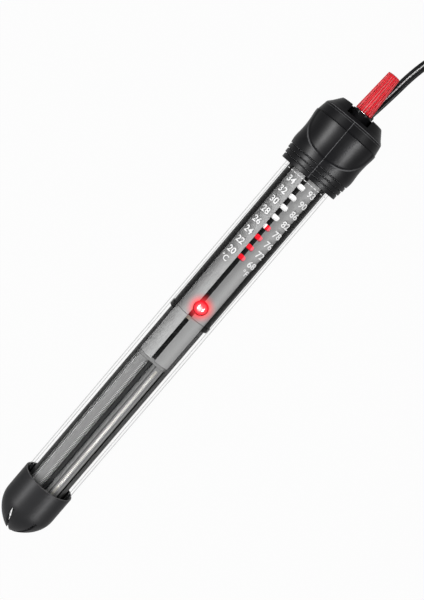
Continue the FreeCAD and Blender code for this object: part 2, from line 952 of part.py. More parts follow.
def make_lead_wires():
    start = "shield_start + running_gap"
    for side, y in (("left", "wire_y"), ("right", "-wire_y")):
        keep(f"lead_wire_{side}", group(bar(
            start, "wire_radius", f"lamp_x - lamp_post_radius - 1 - ({start})", y,
            "board_top + wire_radius + running_gap",
        )))


# Heating section


def make_trough():
    """A dark channel that carries the two elements, with a wall between them."""
    length = "flange_start - running_gap - trough_start"
    channel = ring("trough_start", "trough_radius - trough_wall", "trough_radius", length)
    gap = front_gap("trough_start - 1", f"{length} + 2", "front_half", "trough_radius")
    wall = block(
        "trough_start", "-divider_half", "-trough_radius + trough_wall / 2", length,
        "2 * divider_half", "divider_top + trough_radius - trough_wall / 2",
    )
    keep("element_trough", fuse(cut(channel, gap), wall))


def make_element(side, centre, sheath_radius, slots):
    """A ceramic core, its winding, and a slotted sheath that lets the winding show."""
    start = "trough_start + disc_wall + running_gap"
    length = f"shield_start - disc_wall - running_gap - ({start})"
    core = bar(start, "core_radius", length, centre, "core_z")
    keep(f"ceramic_core_{side}", group(core))
    whole = bar(start, sheath_radius, length, centre, "core_z")
    hollow = bar(f"{start} - 1", f"{sheath_radius} - sheath_wall", f"{length} + 2", centre, "core_z")
    openings = []
    for angle in slots:
        slot = doc.addObject("Part::Box", "SheathSlot")
        bind(
            slot, Length="sheath_slot_end - sheath_slot_start", Width="sheath_slot",
            Height="2 * core_radius",
        )
        turn = FreeCAD.Rotation(Vector(1, 0, 0), angle)
        put(
            slot, "sheath_slot_start",
            f"{centre} - sheath_slot / 2 * cos({angle})",
            f"core_z - sheath_slot / 2 * sin({angle})", turn,
        )
        openings.append(slot)
    keep(f"element_sheath_{side}", cut(whole, hollow, *openings))
    make_winding(side, centre)


def make_winding(side, centre):
    """Resistance wire wound on a core: one unbroken wire of biarcs, each a quarter turn."""
    thickness = value("wire_diameter")
    radius = value("winding_radius")
    turns = int(value("winding_turns"))
    pitch = value("winding_length") / turns
    middle = Vector(value("winding_start"), value(centre), value("core_z"))
    rise = math.hypot(2 * math.pi * radius, pitch)
    stations = []
    for quarter in range(4 * turns + 1):
        angle = math.pi / 2 * quarter
        out = Vector(0, math.cos(angle), math.sin(angle))
        round_it = Vector(0, -math.sin(angle), math.cos(angle))
        place = middle + Vector(pitch * quarter / 4, 0, 0) + out * radius
        way = (round_it * (2 * math.pi * radius) + Vector(pitch, 0, 0)) * (1 / rise)
        stations.append((place, way))
    first, last = stations[0], stations[-1]
    edges = [Part.LineSegment(first[0] - first[1] * thickness, first[0]).toShape()]
    edges += smooth_path(stations)
    edges += [Part.LineSegment(last[0], last[0] + last[1] * thickness).toShape()]
    half = thickness / 2
    corners = [(-half, 0), (0, -half), (half, 0), (0, half)]
    section = section_at(first[0] - first[1] * thickness, first[1], corners)
    solid = sweep(edges, section)
    gap = least_gap(edges, thickness, 0.5, 20)
    print(f"heating_coil_{side}: {turns} turns, least gap to itself {gap:.2f} mm")
    keep_shape(f"heating_coil_{side}", solid)


def make_element_discs():
    """Ceramic discs that hold both ends of the elements, and the soft pad at the tube's end."""
    radius = "trough_radius - trough_wall - running_gap"
    for label, start, length in (
        ("element_disc_lower", "trough_start", "disc_wall"),
        ("element_disc_upper", "shield_start - disc_wall", "disc_wall"),
    ):
        disc = bar(start, radius, length)
        wall = block(
            f"{start} - 1", "-divider_half - running_gap", "-tube_radius", f"{length} + 2",
            "2 * (divider_half + running_gap)", "tube_radius + divider_top + running_gap",
        )
        above = block(
            start, "-tube_radius", "core_z + right_sheath_radius", length,
            "2 * tube_radius", "tube_radius",
        )
        keep(label, cut(disc, wall, above))
    pad_start = "trough_start - cushion_length - running_gap"
    keep("bottom_cushion", group(
        bar(pad_start, "tube_bore - running_gap", "cushion_length")
    ))


# Cord, hank and plug, drawn where they lie on the ground


def lying_placement():
    """The placement that lays the heater down on its guard cap and its head."""
    cap = value("tube_radius + cap_fit + cap_wall")
    head = value("shoulder_radius")
    apart = value("head_start + shoulder_at - cap_shoulder_at")
    tilt = math.atan2(head - cap, apart)
    length = value("collar_end + knob_gap + knob_length")
    shoulder = value("cap_shoulder_at")
    base = Vector(
        -length / 2 * math.cos(tilt), 0, cap * math.cos(tilt) - shoulder * math.sin(tilt)
    )
    return FreeCAD.Placement(base, FreeCAD.Rotation(Vector(0, 1, 0), -math.degrees(tilt)))


def route():
    """The cord's corners from the gland to the hank: down to the ground, then along it."""
    lying = lying_placement()
    start = lying.multVec(Vector(value("gland_end"), value("gland_y"), value("gland_z")))
    ground = value("cord_width / 2 + hank_lift")
    first, _ = hank_stations()[0]
    return [
        start,
        Vector(131, -4.4, 9.9),
        Vector(146, -5.7, 8.4),
        Vector(160, -9.2, 5.2),
        Vector(174, -15.2, 3.3),
        Vector(188.5, first.y, ground),
        first,
    ]


def rounded_run(corners):
    """Straight runs joined by tangent arcs, each as large as its two runs allow."""
    edges, radii, last = [], [], corners[0]
    for before, corner, after in zip(corners, corners[1:], corners[2:]):
        back, ahead = before - corner, after - corner
        reach = 0.45 * min(back.Length, ahead.Length)
        turn = math.pi - back.getAngle(ahead)
        radii.append(reach / math.tan(turn / 2))
        start = corner + Vector(back).normalize() * reach
        stop = corner + Vector(ahead).normalize() * reach
        edges.append(Part.LineSegment(last, start).toShape())
        edges.append(arc_edge(start, (Vector(back) * -1).normalize(), stop))
        last = stop
    edges.append(Part.LineSegment(last, corners[-1]).toShape())
    return edges, radii


def cord_section(place, way):
    """The cord's oblong section, on edge: as tall as the cord is wide."""
    side, up = value("cord_thickness") / 2, value("cord_width") / 2
    return section_at(place, way, [(-side, -up), (side, -up), (side, up), (-side, up)])


def make_cord():
    corners = route()
    edges, radii = rounded_run(corners)
    way = (corners[1] - corners[0]).normalize()
    solid = sweep(edges, cord_section(corners[0], way))
    length = sum(edge.Length for edge in edges)
    expected = length * value("cord_thickness * cord_width")
    print(f"cord: {length:.0f} mm, radii {[round(r) for r in radii]}, "
          f"volume {solid.Volume:.0f} of {expected:.0f}")
    keep_shape("cord", solid, lies=False)


def hank_stations():
    """Both ends of each straight leg of the hank, with the cord's direction there. The legs
    come nearer to the middle up to the leg that climbs to the second layer, then they spread
    again; the last one climbs on top. A climb starts past the tie, half way along its leg."""
    legs = 2 * int(value("hank_loops"))
    stations = []
    for leg in range(legs + 1):
        way = Vector(-1 if leg % 2 else 1, 0, 0)
        side = value("lobe_inner_radius") + value("turn_step") / 2 * abs(leg - legs / 2)
        height = value("cord_width / 2 + hank_lift")
        height += value("layer_step") * ((leg > legs / 2) + (leg == legs))
        middle = Vector(value("hank_x"), -side * way.x, height)
        stations.append((middle - way * value("lobe_spacing"), way))
        if leg in (legs / 2, legs - 1):
            stations.append((middle + way * value("tie_width"), way))
            middle.z += value("layer_step")
        stations.append((middle + way * value("lobe_spacing"), way))
    return stations[:-1]


def tail_stations():
    """The cord's end: from the outer loop it crosses the hank and enters the plug."""
    last, _ = hank_stations()[-1]
    plug_z = hank_top() + value("plug_thickness") / 2 + value("tie_gap")
    run = value("1.5 * lobe_spacing")
    stop = Vector(last.x + run, 0, plug_z)
    middle = (last + stop) / 2
    lean = 2 * math.atan2(abs(stop.y - last.y), stop.x - last.x)
    slope = (stop.z - last.z) / (stop - last).Length
    middle_way = Vector(math.cos(lean), math.sin(lean), 1.5 * slope).normalize()
    return [(last, Vector(1, 0, 0)), (middle, middle_way), (stop, Vector(1, 0, 0))]


def hank_top():
    return value("hank_lift + cord_width + layer_step")


def make_hank():
    """The rest of the cord, wound into a flat hank of two layers, with its end on top."""
    stations = hank_stations()
    tail = tail_stations()
    edges = smooth_path(stations) + smooth_path(tail)
    end = tail[-1][0]
    stop = end + Vector(value("cord_width"), 0, 0)
    edges.append(Part.LineSegment(end, stop).toShape())
    solid = sweep(edges, cord_section(*stations[0]))
    flat = least_gap(edges, value("cord_thickness"), 2, 20)
    length = sum(edge.Length for edge in edges)
    print(f"cord_hank: {length:.0f} mm, gap between its turns {flat:.2f} mm, "
          f"between its layers {value('layer_step - cord_width'):.2f} mm")
    keep_shape("cord_hank", solid, lies=False)
    return stop


def make_tie():
    """The band round the hank."""
    half = "(lobe_inner_radius + turn_step * hank_loops / 2 + cord_thickness / 2)"
    inside = "(hank_lift - tie_gap - tie_wall)"
    outer = block(
        "hank_x - tie_width / 2", f"-{half} - tie_gap - tie_wall", inside, "tie_width",
        f"2 * ({half} + tie_gap + tie_wall)",
        "cord_width + layer_step + 2 * (tie_gap + tie_wall)",
    )
    inner = block(
        "hank_x - tie_width", f"-{half} - tie_gap", "hank_lift - tie_gap", "2 * tie_width",
        f"2 * ({half} + tie_gap)", "cord_width + layer_step + 2 * tie_gap",
    )
    keep("hank_tie", cut(outer, inner), lies=False)


def make_plug(entry):
    """A flat two-pin plug that lies on the hank: where its plan and its side view meet."""
    plan = new_body("plug_plan")
    pad(plan, "XY_Plane", "-plug_thickness", widening("plug_rear_width", "plug_width"),
        "2 * plug_thickness")
    side = new_body("plug_side")
    pad(side, "XZ_Plane", "-plug_width", widening("plug_rear_thickness", "plug_thickness"),
        "2 * plug_width")
    at_entry = FreeCAD.Placement(entry, FreeCAD.Rotation())
    keep("plug_body", common(plan, side), at_entry, lies=False)
    pins = [bar("plug_length", "pin_radius", "pin_length", y)
            for y in ("pin_spacing / 2", "-pin_spacing / 2")]
    keep("plug_pins", group(*pins), at_entry, lies=False)


def widening(rear, front):
    """An outline that widens from the plug's rear to its middle and stays wide to its face."""
    low = [
        ("0", f"-{rear} / 2"),
        ("plug_length / 2", f"plug_corner / 2 - {front} / 2"),
        ("plug_length - plug_corner", f"-{front} / 2"),
        ("plug_length", f"plug_corner / 2 - {front} / 2"),
    ]
    return low + [(x, f"-({y})") for x, y in reversed(low)]


def check_and_write():
    """Stop if any feature failed; otherwise write each piece to its own file."""
    doc.recompute()
    failed = [o.Label for o in doc.Objects if {"Invalid", "Error"} & set(o.State)]
    if failed:
        raise RuntimeError(f"these objects failed: {failed}")
    os.makedirs("parts", exist_ok=True)
    lying = lying_placement()
    for label, thing, placement, lies in pieces:
        thing.Placement = lying * placement if lies else placement
        shape = thing.Shape
        if shape.isNull() or not shape.isValid() or not shape.Solids:
            raise RuntimeError(f"{label} has no valid solid")
        shape.exportStep(f"parts/{label}.step")
    print(len(pieces), "pieces")


make_glass_tube()
make_tip_cap()
make_head_cover()
make_knob_collar()
make_seals()
make_stopper()
make_cord_gland()
make_knob()
make_spindle()
make_chassis()
make_scale()
make_heat_shields()
make_indicator()
make_lamp()
make_board()
make_thermostat()
make_divider_disc()
make_lead_wires()
make_trough()
make_element("left", "left_core_y", "left_sheath_radius", (60, -60))
make_element("right", "right_core_y", "right_sheath_radius", (12,))
make_element_discs()
make_cord()
make_plug(make_hank())
make_tie()
check_and_write()
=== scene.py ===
import json
import math

import bmesh
import bpy
from mathutils import Matrix, Vector


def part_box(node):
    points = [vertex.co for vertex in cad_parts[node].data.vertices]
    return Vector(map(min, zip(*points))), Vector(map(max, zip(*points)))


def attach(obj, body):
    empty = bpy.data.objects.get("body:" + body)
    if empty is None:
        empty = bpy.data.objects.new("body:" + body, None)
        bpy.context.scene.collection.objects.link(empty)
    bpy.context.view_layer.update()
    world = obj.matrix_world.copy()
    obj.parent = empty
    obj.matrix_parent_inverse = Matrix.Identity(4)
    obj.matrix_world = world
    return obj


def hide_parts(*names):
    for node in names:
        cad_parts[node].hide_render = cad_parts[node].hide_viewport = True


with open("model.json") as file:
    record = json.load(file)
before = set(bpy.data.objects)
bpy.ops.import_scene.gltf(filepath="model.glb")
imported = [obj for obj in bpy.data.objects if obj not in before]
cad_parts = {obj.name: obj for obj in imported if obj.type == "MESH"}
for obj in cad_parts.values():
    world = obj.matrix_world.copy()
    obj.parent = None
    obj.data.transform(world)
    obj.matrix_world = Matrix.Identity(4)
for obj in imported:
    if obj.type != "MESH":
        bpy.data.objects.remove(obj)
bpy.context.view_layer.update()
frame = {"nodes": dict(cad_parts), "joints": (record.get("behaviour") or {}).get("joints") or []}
joints = {joint["name"]: joint for joint in frame["joints"]}

# Where the heater lies: on its back with its scale upwards, tilted by its wider head.
# Pieces are drawn in millimetres about the heater's axis, x from the cap's nose to the
# knob, z out of the scale and y to its left, and this matrix lays them down.
collar_end = 256.3
along = Vector(joints["indicator_slide"]["axis"]).normalized()
side = Vector((0, 1, 0))
out = along.cross(side)
turned = Matrix((along, side, out)).transposed()
nose = Vector(joints["knob_turn"]["pos_m"]) - along * collar_end / 1000
laid = Matrix.Translation(nose) @ turned.to_4x4() @ Matrix.Scale(0.001, 4)


# The camera looks down on the scale from above the head, rolled so that the heater
# stands from the lower left to the upper right of the frame.
def set_camera(place, lens, lean, roll):
    """Place is about the heater, lean tips the view along it and roll turns the frame."""
    ahead = Vector((-math.sin(lean), 0, -math.cos(lean)))
    level = Vector((math.cos(lean), 0, -math.sin(lean)))
    up = level * math.cos(roll) + Vector((0, math.sin(roll), 0))
    look = turned @ Matrix((ahead.cross(up), up, -ahead)).transposed()
    camera = bpy.data.objects.new("camera", bpy.data.cameras.new("camera"))
    camera.data.lens = lens
    camera.data.clip_end = 20
    camera.matrix_world = Matrix.Translation(laid @ Vector(place)) @ look.to_4x4()
    bpy.context.scene.collection.objects.link(camera)
    bpy.context.scene.camera = camera


set_camera(
    place=(222.6, -2.93, 540), lens=71, lean=math.radians(7.89), roll=math.radians(40.48)
)


# The table top: a plain sheet of paper under everything. Seen straight, in a shine or
# through glass it is near white, and its diffuse share keeps the heater's soft shadow.
class Signal:
    """A socket among a material's nodes. Arithmetic on it adds Math nodes."""

    def __init__(self, tree, socket=None):
        self.tree = tree
        self.socket = socket

    def node(self, kind, settings=None, inputs=None, output=0):
        """Add any other node: its settings first, then its sockets' values or links."""
        made = self.tree.nodes.new("ShaderNode" + kind)
        for name, setting in (settings or {}).items():
            setattr(made, name, setting)
        for name, given in (inputs or {}).items():
            if isinstance(given, Signal):
                self.tree.links.new(given.socket, made.inputs[name])
            elif isinstance(given, tuple) and len(made.inputs[name].default_value) == 4:
                made.inputs[name].default_value = (*given, 1)
            else:
                made.inputs[name].default_value = given
        return Signal(self.tree, made.outputs[output]) if made.outputs else None

    def math(self, operation, first, second=0.0):
        return self.node("Math", {"operation": operation}, {0: first, 1: second})

    def __add__(self, other):
        return self.math("ADD", self, other)

    __radd__ = __add__

    def __sub__(self, other):
        return self.math("SUBTRACT", self, other)

    def __rsub__(self, other):
        return self.math("SUBTRACT", other, self)

    def __mul__(self, other):
        return self.math("MULTIPLY", self, other)

    __rmul__ = __mul__

    def __truediv__(self, other):
        return self.math("DIVIDE", self, other)

    def __abs__(self):
        return self.math("ABSOLUTE", self)

    def __pow__(self, power):
        return self.math("POWER", self, power)

    def __lt__(self, other):
        return self.math("LESS_THAN", self, other)

    def __gt__(self, other):
        return self.math("GREATER_THAN", self, other)

    def rise(self, low, high):
        """0 below low, 1 above high, and a smooth step between."""
        return self.node(
            "MapRange", {"interpolation_type": "SMOOTHSTEP"},
            {"Value": self, "From Min": low, "From Max": high},
        )

    def parts(self):
        """The three numbers of a vector."""
        split = self.node("SeparateXYZ", None, {"Vector": self}).socket.node
        return [Signal(self.tree, socket) for socket in split.outputs]

    def near(self, place, half, soft):
        """1 within half of a place, fading over soft."""
        return 1 - abs(self - place).rise(half, half + soft)

    def mixed(self, first, second):
        """The first colour where this is 0 and the second where it is 1."""
        return self.node(
            "Mix", {"data_type": "RGBA"}, {"Factor": self, 6: first, 7: second}, output=2
        )


def new_material(name):
    """A material with no nodes yet, and a Signal to add them from."""
    material = bpy.data.materials.new(name)
    material.use_nodes = True
    material.node_tree.nodes.clear()
    return material, Signal(material.node_tree)


def seen_rays(start):
    """1 for what the camera sees, straight, in a shine or through glass, and 0 for light."""
    names = ("Is Camera Ray", "Is Glossy Ray", "Is Transmission Ray")
    camera, glossy, through = [start.node("LightPath", output=name) for name in names]
    return start.math("MINIMUM", camera + glossy + through, 1.0)


def lay_table(size, paper, fleck, share):
    """A square sheet that is size to each side, and white by this share where it is seen."""
    material, start = new_material("table_paper")
    grain = start.node(
        "TexNoise", None, {"Vector": start.node("TexCoord", output="Object"), "Scale": 90}
    )
    sheet = start.node("BsdfDiffuse", None, {"Color": grain.mixed(paper, fleck)})
    light = start.node("Emission", None, {"Color": (1.0, 1.0, 1.0), "Strength": 1.0})
    both = start.node("MixShader", None, {0: seen_rays(start) * share, 1: sheet, 2: light})
    start.node("OutputMaterial", None, {"Surface": both})
    mesh = bpy.data.meshes.new("table")
    corners = [(-size, -size, 0), (size, -size, 0), (size, size, 0), (-size, size, 0)]
    mesh.from_pydata(corners, [], [(0, 1, 2, 3)])
    mesh.materials.append(material)
    table = bpy.data.objects.new("table", mesh)
    bpy.context.scene.collection.objects.link(table)


lay_table(size=6.0, paper=(0.32, 0.32, 0.32), fleck=(0.28, 0.28, 0.28), share=0.97)


# The light: a pale room and three long soft boxes that hang along the heater. The two
# beside it draw the broad sheen on its head, and the one above it lights the colours.
def hang_softbox(name, angle, distance, width, power, glossy=True):
    """A long lamp over the heater: angle is how far it leans from straight above. A glossy
    one only draws its reflection, and any other one only lights the colours."""
    length, beside = 0.62, (60, 0, 0)
    lamp = bpy.data.lights.new(name, "AREA")
    lamp.shape = "RECTANGLE"
    lamp.size = length
    lamp.size_y = width
    lamp.energy = power
    toward = side * math.sin(angle) + out * math.cos(angle)
    middle = laid @ Vector(beside)
    facing = Matrix((along, toward.cross(along), toward)).transposed()
    holder = bpy.data.objects.new(name, lamp)
    holder.matrix_world = Matrix.Translation(middle + toward * distance) @ facing.to_4x4()
    holder.visible_glossy = glossy
    holder.visible_diffuse = not glossy
    bpy.context.scene.collection.objects.link(holder)


def light_room(strength, background):
    """Light of one strength, before a background of another."""
    world = bpy.data.worlds.new("room")
    bpy.context.scene.world = world
    world.use_nodes = True
    world.node_tree.nodes.clear()
    start = Signal(world.node_tree)
    pale, white = [
        start.node("Background", None, {"Color": (1.0, 1.0, 1.0), "Strength": level})
        for level in (strength, background)
    ]
    sky = start.node("MixShader", None, {0: seen_rays(start), 1: pale, 2: white})
    start.node("OutputWorld", None, {"Surface": sky})


hang_softbox("softbox_left", math.radians(43), distance=0.6, width=0.10, power=28.0)
hang_softbox("softbox_right", math.radians(-52), distance=0.6, width=0.10, power=24.0)
hang_softbox("fill", math.radians(4), distance=0.7, width=0.3, power=4.7, glossy=False)
light_room(strength=0.10, background=1.0)
bpy.context.scene.view_settings.view_transform = "Standard"


# Mains cord: flat twin flex in black rubber, which stands nearly on edge. It leaves the
# gland at the back of the head, runs down to the table and is put away in a tied hank.
core_radius = 1.1
gland_end = (258.3, -2.8, -7.5)
ground = 2.9
hank_x = 236.0
lobe_spacing = 33.0
lobe_radius = 13.2
turn_step = 3.3
layer_step = 4.85
legs = 8


def hank_corners():
    """Control points of the hank: straight legs joined by round lobes, two layers of them."""
    widen = 1.035
    climb_start, climb_middle = 5, 19
    points = []
    for leg in range(legs):
        way = -1 if leg % 2 else 1
        near = lobe_radius + turn_step / 2 * abs(leg - legs / 2)
        far = lobe_radius + turn_step / 2 * abs(leg + 1 - legs / 2)
        low = ground + layer_step * (leg > legs / 2)
        climbs = leg in (legs / 2, legs - 1)
        high = low + layer_step * climbs
        x, y = hank_x, -near * way
        points += [(x - way * lobe_spacing, y, low), (x + way * climb_start, y, low)]
        points.append((x + way * climb_middle, y, (low + high) / 2))
        points.append((x + way * lobe_spacing, y, high))
        radius = (near + far) / 2 * widen
        for step in range(1, 6):
            angle = math.radians(30 * step - 90) * way
            points.append((
                x + way * (lobe_spacing + radius * math.cos(angle)),
                way * (far - near) / 2 + radius * math.sin(angle),
                high,
            ))
    return points


def cord_corners():
    """All control points of the cord, in metres."""
    start = laid @ Vector(gland_end)
    run = [(131, -4.4, 9.9), (146, -5.7, 8.4), (160, -9.2, 5.2), (174, -15.2, 3.3),
           (188.5, -19.8, ground)]
    tail = [(203, -19.8, 12.6), (215, -19.2, 13.0), (226, -12.5, 14.6),
            (236, -4.0, 16.2), (246, 0, 16.9), (256.9, 0, 16.9)]
    return [start] + [Vector(point) / 1000 for point in run + hank_corners() + tail]


def cord_line(corners):
    """The smooth line that the cord's middle follows."""
    curve = bpy.data.curves.new("cord_line", "CURVE")
    curve.dimensions = "3D"
    spline = curve.splines.new("NURBS")
    spline.points.add(len(corners) - 1)
    for point, corner in zip(spline.points, corners):
        point.co = (*corner, 1)
    spline.order_u = 3
    spline.use_endpoint_u = True
    curve.resolution_u = 6
    holder = bpy.data.objects.new("cord_line", curve)
    bpy.context.scene.collection.objects.link(holder)
    bpy.context.view_layer.update()
    mesh = bpy.data.meshes.new_from_object(holder)
    line = [vertex.co.copy() for vertex in mesh.vertices]
    bpy.data.objects.remove(holder)
    return [a for a, b in zip(line, line[1:] + [None]) if b is None or (a - b).length > 1e-6]


def twin_outline():
    """Two cores side by side with a groove between them: (across, thick) in millimetres."""
    right = [math.radians(angle) for angle in range(-140, 141, 28)]
    half = [(core_radius * (1 + math.cos(a)), core_radius * math.sin(a)) for a in right]
    return half + [(-across, -thick) for across, thick in half]


def add_object(name, mesh, material):
    """Put a finished mesh in the scene under its material."""
    mesh.materials.clear()
    mesh.materials.append(material)
    thing = bpy.data.objects.new(name, mesh)
    bpy.context.scene.collection.objects.link(thing)
    return thing


def skin(rings, joined=False):
    """A smooth mesh over rings of as many points each. Its last ring is joined to its
    first, or both are closed with a face."""
    mesh = bmesh.new()
    rows = [[mesh.verts.new(point) for point in ring] for ring in rings]
    for row, after in zip(rows, rows[1:] + rows[:1] * joined):
        for k in range(len(row)):
            mesh.faces.new((row[k - 1], row[k], after[k], after[k - 1]))
    if not joined:
        mesh.faces.new(rows[0])
        mesh.faces.new(rows[-1])
    bmesh.ops.remove_doubles(mesh, verts=mesh.verts, dist=1e-7)
    bmesh.ops.recalc_face_normals(mesh, faces=mesh.faces)
    made = bpy.data.meshes.new("skin")
    mesh.to_mesh(made)
    mesh.free()
    made.shade_smooth()
    made.set_sharp_from_angle(angle=math.radians(38))
    return made


def cord_rubber():
    """Black rubber with a painted highlight: a pale line along the groove between the cores."""
    material, start = new_material("cord_rubber")
    across = start.node("Attribute", {"attribute_name": "across"}, output="Fac")
    place = start.node("TexCoord", output="Object")
    grain = start.node("TexNoise", None, {"Vector": place, "Scale": 2500})
    # Painted highlight: the groove between the cores is coloured pale grey.
    groove = 1 - abs(across).rise(0.08, 0.18)
    colour = groove.mixed((0.006, 0.006, 0.007), (0.75, 0.75, 0.75))
    bump = start.node("Bump", None, {"Strength": 0.15, "Distance": 0.0001, "Height": grain})
    shader = start.node("BsdfPrincipled", None, {
        "Base Color": colour, "Roughness": grain * 0.2 + 0.32, "Normal": bump,
        "Specular IOR Level": 0.06,
    })
    start.node("OutputMaterial", None, {"Surface": shader})
    return material


def make_cord(with_pieces):
    """The whole cord. It leaves the gland on its flat and soon turns on edge."""
    flat, on_edge, turn_from = 20, 90, 18
    line = cord_line(cord_corners())
    section = twin_outline()
    rings = []
    for number, place in enumerate(line):
        way = (line[min(number + 1, len(line) - 1)] - line[max(number - 1, 0)]).normalized()
        level = way.cross(Vector((0, 0, 1))).normalized()
        up = level.cross(way)
        roll = math.radians(min(on_edge, max(flat, flat + 2 * (number - turn_from))))
        wide = level * math.cos(roll) + up * math.sin(roll)
        thin = wide.cross(way)
        rings.append([place + (wide * a + thin * b) / 1000 for a, b in section])
    mesh = skin(rings)
    across = mesh.attributes.new("across", "FLOAT", "POINT")
    values = [a / (2 * core_radius) for _ in rings for a, _ in section]
    across.data.foreach_set("value", values)
    cord = add_object("mains_cord", mesh, cord_rubber())
    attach(cord, "heater")
    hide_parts("cord", "cord_hank")
    length = sum((b - a).length for a, b in zip(line, line[1:]))


# Band that ties the hank: soft rubber, moulded with fine ribs and pulled tight, so that
# its corners are round and its sides bow a little around the turns.
def local(start):
    """Where a point lies on the heater, in millimetres: x along it, y to its left, z out."""
    place = start.node("TexCoord", output="Object")
    return start.node("Mapping", {"vector_type": "TEXTURE"}, {
        "Vector": place, "Location": tuple(nose), "Rotation": tuple(turned.to_euler()),
        "Scale": (0.001, 0.001, 0.001),
    })


def noise(start, place, scale, detail=2.0):
    """A grain whose grains are finer with a larger scale."""
    return start.node("TexNoise", None, {"Vector": place, "Scale": scale, "Detail": detail})


def finish_surface(start, colour, roughness, height=None, bump=0.2, constants=None):
    """End a material in a Principled shader, with height as its fine relief."""
    inputs = {"Base Color": colour, "Roughness": roughness, "Specular IOR Level": 0.1}
    inputs.update(constants or {})
    if height is not None:
        inputs["Normal"] = start.node(
            "Bump", None, {"Strength": bump, "Distance": 0.0001, "Height": height}
        )
    shader = start.node("BsdfPrincipled", None, inputs)
    start.node("OutputMaterial", None, {"Surface": shader})


def moulded(name, dark, light, roughness=0.45, grain=4.0, bump=0.2, constants=None):
    """A moulded or pressed surface whose colour and gloss vary with its grain."""
    material, start = new_material(name)
    fine = noise(start, local(start), grain)
    finish_surface(
        start, fine.mixed(dark, light), fine * 0.15 + (roughness - 0.075), fine, bump, constants
    )
    return material


def rounded(corners, steps=4):
    """The points of an outline of (x, y, radius) corners, each rounded to its radius."""
    points = []
    for number, (x, y, radius) in enumerate(corners):
        corner = Vector((x, y))
        if not radius:
            points.append(corner)
            continue
        back = Vector(corners[number - 1][:2]) - corner
        ahead = Vector(corners[(number + 1) % len(corners)][:2]) - corner
        start = corner + back.normalized() * min(radius, back.length * 0.45)
        stop = corner + ahead.normalized() * min(radius, ahead.length * 0.45)
        for step in range(steps + 1):
            t = step / steps
            points.append(start * (1 - t) ** 2 + corner * 2 * t * (1 - t) + stop * t * t)
    return points


def band_path(half_width, low, high, corner, count):
    """Points round a rounded rectangle across the hank, spaced along its sides too."""
    outline = rounded([
        (-half_width, low, corner), (half_width, low, corner),
        (half_width, high, corner), (-half_width, high, corner),
    ], 8)
    points = []
    for start, stop in zip(outline, outline[1:] + outline[:1]):
        pieces = max(1, round((stop - start).length / count))
        points += [start.lerp(stop, step / pieces) for step in range(pieces)]
    return points


def make_tie():
    """The band, swept round the waist of the hank in the space that its solid takes."""
    inset, bend, spacing = 0.05, 3.2, 0.6
    rib_depth, rib_pitch, thickness = 0.12, 1.2, 0.6
    low, high = [Vector(corner) * 1000 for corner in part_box("hank_tie")]
    centre = Vector((0, (low.z + high.z) / 2))
    rings = []
    for place in band_path(high.y - inset, low.z + inset, high.z - inset, bend, spacing):
        rib = rib_depth if round(place.x / rib_pitch) % 2 else 0.0
        inward = (centre - Vector((place.x * 0.6, place.y))).normalized()
        section = rounded([
            (low.x, rib, 0.3), (high.x, rib, 0.3), (high.x, thickness, 0.2), (low.x, thickness, 0.2)
        ], 2)
        rings.append([
            Vector((x, place.x + inward.x * deep, place.y + inward.y * deep)) / 1000
            for x, deep in section
        ])
    rubber = moulded("tie_rubber", (0.012, 0.012, 0.013), (0.03, 0.03, 0.032), 0.55, 3.0)
    tie = add_object("hank_band", skin(rings, joined=True), rubber)
    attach(tie, "heater")
    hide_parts("hank_tie")
    return tie


hank_band = make_tie()


# Plug: flat black two-pin moulding, which widens from the flex to its face. Its sides are
# waisted for the fingers, with grip ridges across, and its pins are sleeved halfway.
sleeved_share = 0.55


def superellipse(width, height, power, count):
    """Points of a rounded rectangle, squarer with a higher power."""
    points = []
    for k in range(count):
        angle = 2 * math.pi * k / count
        c, s = math.cos(angle), math.sin(angle)
        points.append((
            math.copysign(abs(c) ** (2 / power), c) * width / 2,
            math.copysign(abs(s) ** (2 / power), s) * height / 2,
        ))
    return points


def make_plug_body():
    """The moulding: rounded sections from the neck at the flex to the face with the pins."""
    low, high = [Vector(corner) * 1000 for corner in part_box("plug_body")]
    middle = (low + high) / 2
    length, full_width, full_height = high - low
    neck_width, neck_height, waist_share = 13.6, 8.8, 0.55
    back_edge, face_edge = 0.8, 1.2
    grip_start, grip_end, ridge_height = 6, 16, 0.3
    stations = [0, 0.15, 0.5, 1.0, 2, 3, 4, 5.5] + [grip_start + 0.5 * k for k in range(21)]
    stations += [17, 18.5, 20, 22, 24, 26, 28, 30, 31.5, 32.6, 33.3, 33.8, length]
    rings = []
    for x in stations:
        share = min(1.0, x / (waist_share * length))
        share = share * share * (3 - 2 * share)
        width = neck_width + (full_width - ridge_height - neck_width) * share
        height = neck_height + (full_height - ridge_height - neck_height) * share
        bevel = max(0, 1 - x / back_edge) ** 2 + max(0, 1 - (length - x) / face_edge) ** 2
        raised = grip_start <= x <= grip_end and round((x - grip_start) * 2) % 4 == 1
        grown_by = ridge_height * raised - 2 * back_edge * bevel
        outline = superellipse(width + grown_by, height + grown_by, 4.0, 72)
        rings.append([Vector((low.x + x, middle.y + y, middle.z + z)) / 1000 for y, z in outline])
    plastic = moulded("plug_plastic", (0.011, 0.011, 0.012), (0.02, 0.02, 0.022), 0.42, 5.0, 0.25)
    plug = add_object("mains_plug", skin(rings), plastic)
    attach(plug, "heater")
    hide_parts("plug_body")
    return plug


